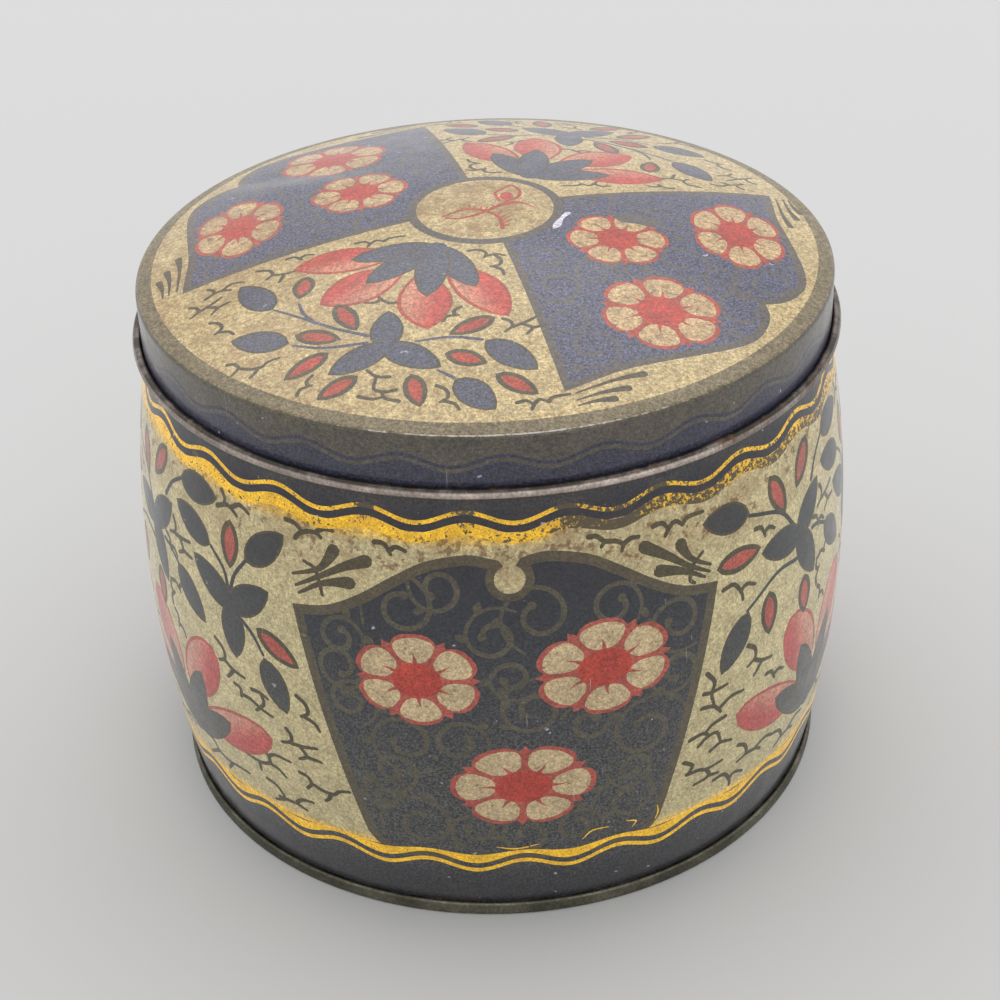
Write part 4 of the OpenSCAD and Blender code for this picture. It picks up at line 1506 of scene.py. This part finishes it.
class TIN_OT_lid(bpy.types.Operator):
    """Make the printed lid with its dome, skirt and rolled rim"""

    bl_idname = "tin.lid"
    bl_label = "Printed lid"

    def execute(self, context):
        tin, colours = settings()
        ink = print_finish(
            "printed_lid", colours, colours.lid_tint, colours.lid_reds, colours.dusk, colours.film,
            speckle=0.08, grain=0.38, age=0.05,
        )
        plain = bare_finish("lid_tinplate", colours.bare, colours.rust, 0.56)
        cap = joined("lid_dome", [lid_dome(tin)])
        piece = repeated(joined("printed_lid", lid_ring(tin)), WAVES, ink, plain, cap)
        points = points_of(piece.data)
        x, y, z = points.T / MM
        r = np.hypot(x, y)
        dome = (np.abs(z - tin.dome(np.minimum(r, tin.dome_out))) < 0.05) & (r < tin.dome_out + TOUCH)
        skirt = (np.abs(r - tin.skirt_r) < TOUCH) & (z > tin.rim_z - TOUCH)
        sunk, slope = crease(tin, x, y, z)
        set_points(piece.data, points - np.column_stack((0 * r, 0 * r, sunk)) * MM)
        centre = np.array((0, 0, tin.dome_z)) * MM
        normals = (points - centre) / np.linalg.norm(points - centre, axis=1)[:, None]
        normals[:, :2] -= slope
        normals /= np.linalg.norm(normals, axis=1)[:, None]
        normals[skirt] = np.column_stack((x[skirt], y[skirt], 0 * x[skirt])) / tin.skirt_r
        smooth_with(piece.data, dome | skirt, normals)
        wear_lid(tin, piece.data, x, y, z, dome, skirt)
        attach(piece, "lid")
        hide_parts("lid_shell")
        return {"FINISHED"}


class TIN_OT_fittings(bpy.types.Operator):
    """Finish the solder in the side seam and the wire in the lid's rim"""

    bl_idname = "tin.fittings"
    bl_label = "Solder and wire"

    def execute(self, context):
        _, colours = settings()
        finishes = {
            "side_seam_solder": bare_finish("seam_solder", colours.solder, colours.speck, 0.7, 0.45),
            "lid_rim_wire": bare_finish("rim_iron", colours.iron, colours.rust, 0.48, 0.5),
        }
        for node, finish in finishes.items():
            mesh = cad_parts[node].data
            mesh.materials.clear()
            mesh.materials.append(finish)
        return {"FINISHED"}


# Floor disc and where it fades out, in metres; light from all around, and shade behind the floor
FLOOR_R, FLOOR_FADE = 2.5, (1.1, 2.4)
SKY, BACKDROP = 0.88, 0.67

# Lamps: name, place and size in metres, watts, and whether glossy surfaces mirror it
LAMP_AIM = Vector((0, 0, 0.06))
LAMPS = (
    ("soft_back", (0.0, 2.0, 3.75), (4.5, 4.5), 56.0, True),
    ("soft_front", (1.0, -3.0, 2.25), (2.5, 2.5), 15.0, True),
    ("soft_left", (-3.8, 1.5, 1.3), (6.0, 2.4), 82.0, False),
    ("soft_right", (3.8, 1.5, 1.3), (6.0, 2.4), 90.0, False),
)


class TIN_OT_stage(bpy.types.Operator):
    """Set the floor, the soft light and the camera"""

    bl_idname = "tin.stage"
    bl_label = "Stage"

    def execute(self, context):
        scene = context.scene
        colours, view = scene.tin_colours, scene.tin_view
        scene.view_settings.view_transform = "Standard"
        self.floor(scene, colours)
        self.world(scene)
        for lamp in LAMPS:
            self.lamp(scene, *lamp)
        self.camera(scene, view)
        return {"FINISHED"}

    def floor(self, scene, colours):
        mesh = bpy.data.meshes.new("floor")
        angles = np.linspace(0, 2 * math.pi, 48, endpoint=False)
        rim = [(FLOOR_R * math.cos(a), FLOOR_R * math.sin(a), 0) for a in angles]
        mesh.from_pydata(rim, [], [tuple(range(len(rim)))])
        f = Finish("floor")
        away = f.add("VectorMath", operation="LENGTH")
        f.feed(away.inputs[0], f.place)
        f.set(base_color=linear(colours.floor), roughness=0.9, specular_ior_level=0.0)
        f.set(alpha=f.spread(away.outputs["Value"], *FLOOR_FADE, 1.0, 0.0))
        mesh.materials.append(f.material)
        floor = bpy.data.objects.new("floor", mesh)
        scene.collection.objects.link(floor)

    def world(self, scene):
        world = bpy.data.worlds.new("studio")
        world.use_nodes = True
        tree = world.node_tree
        back = tree.nodes["Background"]
        back.inputs["Color"].default_value = grey(1.0)
        back.inputs["Strength"].default_value = SKY
        seen = tree.nodes.new("ShaderNodeBackground")
        seen.inputs["Color"].default_value = grey(BACKDROP)
        path = tree.nodes.new("ShaderNodeLightPath")
        mix = tree.nodes.new("ShaderNodeMixShader")
        tree.links.new(path.outputs["Is Camera Ray"], mix.inputs[0])
        tree.links.new(back.outputs[0], mix.inputs[1])
        tree.links.new(seen.outputs[0], mix.inputs[2])
        tree.links.new(mix.outputs[0], tree.nodes["World Output"].inputs["Surface"])
        scene.world = world

    def lamp(self, scene, name, place, size, watts, mirrored):
        data = bpy.data.lights.new(name, "AREA")
        data.shape = "ELLIPSE"
        data.size, data.size_y = size
        data.energy = watts
        lamp = bpy.data.objects.new(name, data)
        lamp.location = place
        lamp.visible_glossy = mirrored
        lamp.rotation_euler = (LAMP_AIM - lamp.location).to_track_quat("-Z", "Y").to_euler()
        scene.collection.objects.link(lamp)

    def camera(self, scene, view):
        tilt, turn = view.tilt, -view.turn
        back = Vector((math.sin(turn) * math.cos(tilt), -math.cos(turn) * math.cos(tilt), math.sin(tilt)))
        right = Vector((math.cos(turn), math.sin(turn), 0))
        up = back.cross(right)
        right, up = (
            math.cos(view.roll) * right + math.sin(view.roll) * up,
            math.cos(view.roll) * up - math.sin(view.roll) * right,
        )
        place = Vector((0, 0, view.aim_h)) + view.left * right - view.down * up + view.away * back
        data = bpy.data.cameras.new("camera")
        data.lens = view.lens
        data.sensor_width = 36.0
        data.clip_start = 0.01
        camera = bpy.data.objects.new("camera", data)
        axes = Matrix((right, up, back)).transposed().to_4x4()
        camera.matrix_world = Matrix.Translation(place) @ axes
        scene.collection.objects.link(camera)
        scene.camera = camera


class TIN_PT_sidebar(bpy.types.Panel):
    """Pieces and settings of the tin"""

    bl_idname = "TIN_PT_sidebar"
    bl_label = "Biscuit tin"
    bl_space_type = "VIEW_3D"
    bl_region_type = "UI"
    bl_category = "Tin"

    def draw(self, context):
        for operator in OPERATORS:
            self.layout.operator(operator.bl_idname)
        for group in (context.scene.tin_sizes, context.scene.tin_colours, context.scene.tin_view):
            box = self.layout.box()
            for name in group.__annotations__:
                box.prop(group, name)


GROUPS = {"tin_sizes": TinSizes, "tin_colours": TinColours, "tin_view": TinView}
OPERATORS = (TIN_OT_body, TIN_OT_base, TIN_OT_lid, TIN_OT_fittings, TIN_OT_stage)
CLASSES = (*GROUPS.values(), *OPERATORS, TIN_PT_sidebar)


def register():
    for cls in CLASSES:
        bpy.utils.register_class(cls)
    for name, group in GROUPS.items():
        setattr(bpy.types.Scene, name, PointerProperty(type=group))


def unregister():
    for name in GROUPS:
        delattr(bpy.types.Scene, name)
    for cls in reversed(CLASSES):
        bpy.utils.unregister_class(cls)


def main():
    register()
    bpy.ops.tin.body()
    bpy.ops.tin.base()
    bpy.ops.tin.lid()
    bpy.ops.tin.fittings()
    bpy.ops.tin.stage()


if __name__ == "__main__":
    main()
